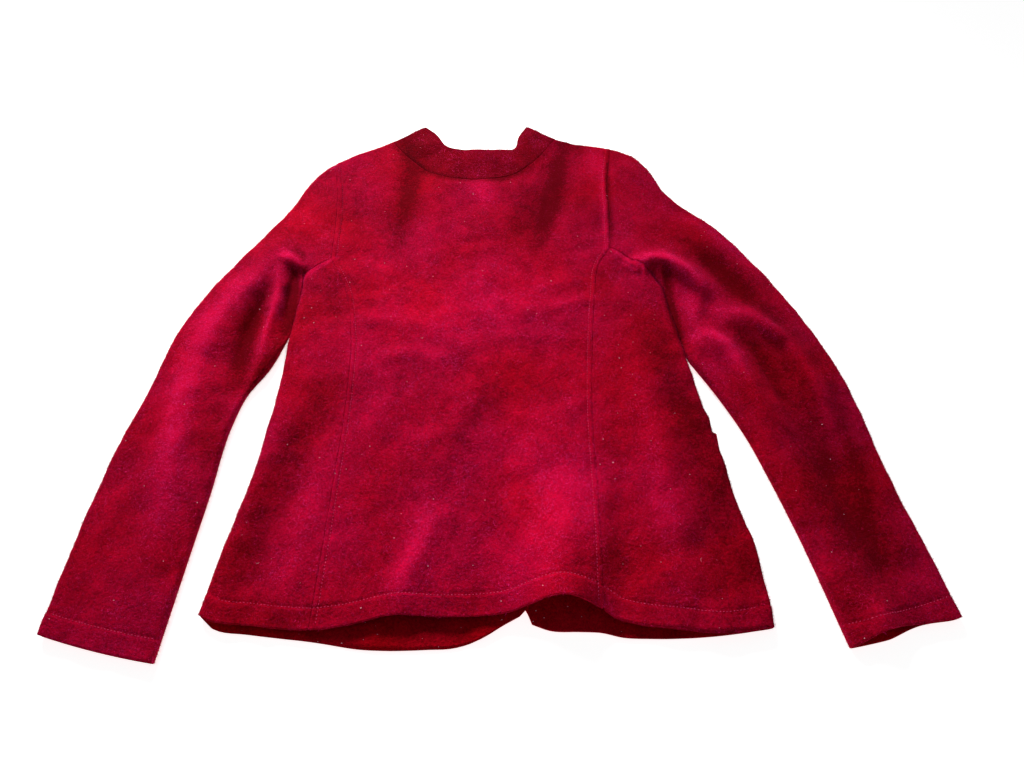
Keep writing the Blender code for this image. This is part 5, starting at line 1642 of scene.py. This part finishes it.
def bead(head, tail, normal):
    """One stitch: a spindle of thread between two holes."""
    way = unit(tail - head)
    side = np.cross(way, normal)
    up = np.cross(side, way)
    middle = (head + tail) / 2 + STITCH_RADIUS * STITCH_RISE * up
    ring = [middle + STITCH_RADIUS * (math.cos(a) * side + math.sin(a) * up)
            for a in np.linspace(0, 2 * math.pi, STITCH_SIDES, endpoint=False)]
    head, tail = head - STITCH_SINK * up, tail - STITCH_SINK * up
    corners = []
    for first, second in zip(ring, ring[1:] + ring[:1]):
        corners += [head, first, second, tail, second, first]
    return corners


def inner_line(table_line, count, distance):
    """A line of even steps beside another, on the side of the garment's middle."""
    line = steps(table_line, count)
    return min((shifted(line, distance), shifted(line, -distance)),
               key=lambda moved: np.linalg.norm(moved - MIDDLE, axis=1).mean())


def add_stitches():
    """Topstitches of the hem, seams and cuffs, a few steps short of where each line ends."""
    body = surface_tree(["back_centre", "back_side_left", "back_side_right", "front_right"])
    stitches("stitches_hem", [inner_line(BACK_HEM_LINE, 200, HEM)[3:-3]], body)
    rows = []
    for side in SIDES:
        rows.append(inner_line(smooth(ARMHOLE[side]), 60, ARMHOLE_STITCH)[4:-2])
        rows.append(inner_line(smooth(PRINCESS[side]), 120, PRINCESS_STITCH)[1:-4])
    stitches("stitches_seams", rows, body)
    for side in SIDES:
        tree = surface_tree([f"sleeve_{side}"])
        stitches(f"stitches_cuff_{side}", [inner_line(CUFF[side], 40, HEM)[1:-1]], tree)


# ---- floor, light, camera ----------------------------------------------------------------

FLOOR_HALF = 4.0
FLOOR_DROP = 0.0004
KEY_PLACE = (-0.62, 1.50, 0.80)
KEY_AIM = (-0.12, 0.0, 0.0)
CAMERA_PLACE = (0.0088, -0.4715, 0.73)
CAMERA_TILT = 30.0        # degrees up from straight down


def make_floor():
    """A plain pale surface just under the garment."""
    mesh = bpy.data.meshes.new("floor")
    low = CAD_BOX[0][2] - FLOOR_DROP
    corners = [(x * FLOOR_HALF, y * FLOOR_HALF, low)
               for x, y in ((-1, -1), (1, -1), (1, 1), (-1, 1))]
    mesh.from_pydata(corners, [], [(0, 1, 2, 3)])
    made, tree, shader = new_material("pale_paper")
    feed(tree, shader, {"Base Color": (0.93, 0.93, 0.93, 1.0), "Roughness": 0.9,
                        "Specular IOR Level": 0.1, "Emission Color": (1.0, 1.0, 1.0, 1.0),
                        "Emission Strength": 0.84})
    mesh.materials.append(made)
    add_object("floor", mesh)


def make_light():
    """A soft lamp beyond the garment's neck, and a little light from all round."""
    world = bpy.data.worlds.new("studio")
    world.use_nodes = True
    feed(world.node_tree, world.node_tree.nodes["Background"],
         {"Color": (1.0, 1.0, 1.0, 1.0), "Strength": 0.16})
    bpy.context.scene.world = world
    key = bpy.data.lights.new("key", "AREA")
    key.energy = 4.8
    key.shape = "RECTANGLE"
    key.size = 0.9
    key.size_y = 0.7
    key.spread = math.radians(44)
    lamp = add_object("key", key)
    lamp.location = KEY_PLACE
    lamp.rotation_euler = (lamp.location - Vector(KEY_AIM)).to_track_quat("Z", "Y").to_euler()


def make_camera():
    """The camera, above the hem and a little before it, looking down towards the neck."""
    camera = bpy.data.cameras.new("camera")
    camera.lens = 27.04
    camera.sensor_width = 36.0
    camera.clip_start = 0.01
    eye = add_object("camera", camera)
    eye.location = CAMERA_PLACE
    eye.rotation_euler = (math.radians(CAMERA_TILT), 0.0, 0.0)
    bpy.context.scene.camera = eye


# ---- build -------------------------------------------------------------------------------

dress_back_centre()
dress_back_side_left()
dress_back_side_right()
dress_front_left()
dress_front_right()
for side in SIDES:
    dress_sleeve(side)
dress_collar()
for side in SIDES:
    dress_pocket(side)
dress_buttons()
for number, node in enumerate(OUTER):
    add_nap(node, NAP_SEED + number)
add_lint()
add_stitches()

make_floor()
make_light()
make_camera()
bpy.context.scene.view_settings.view_transform = "Standard"
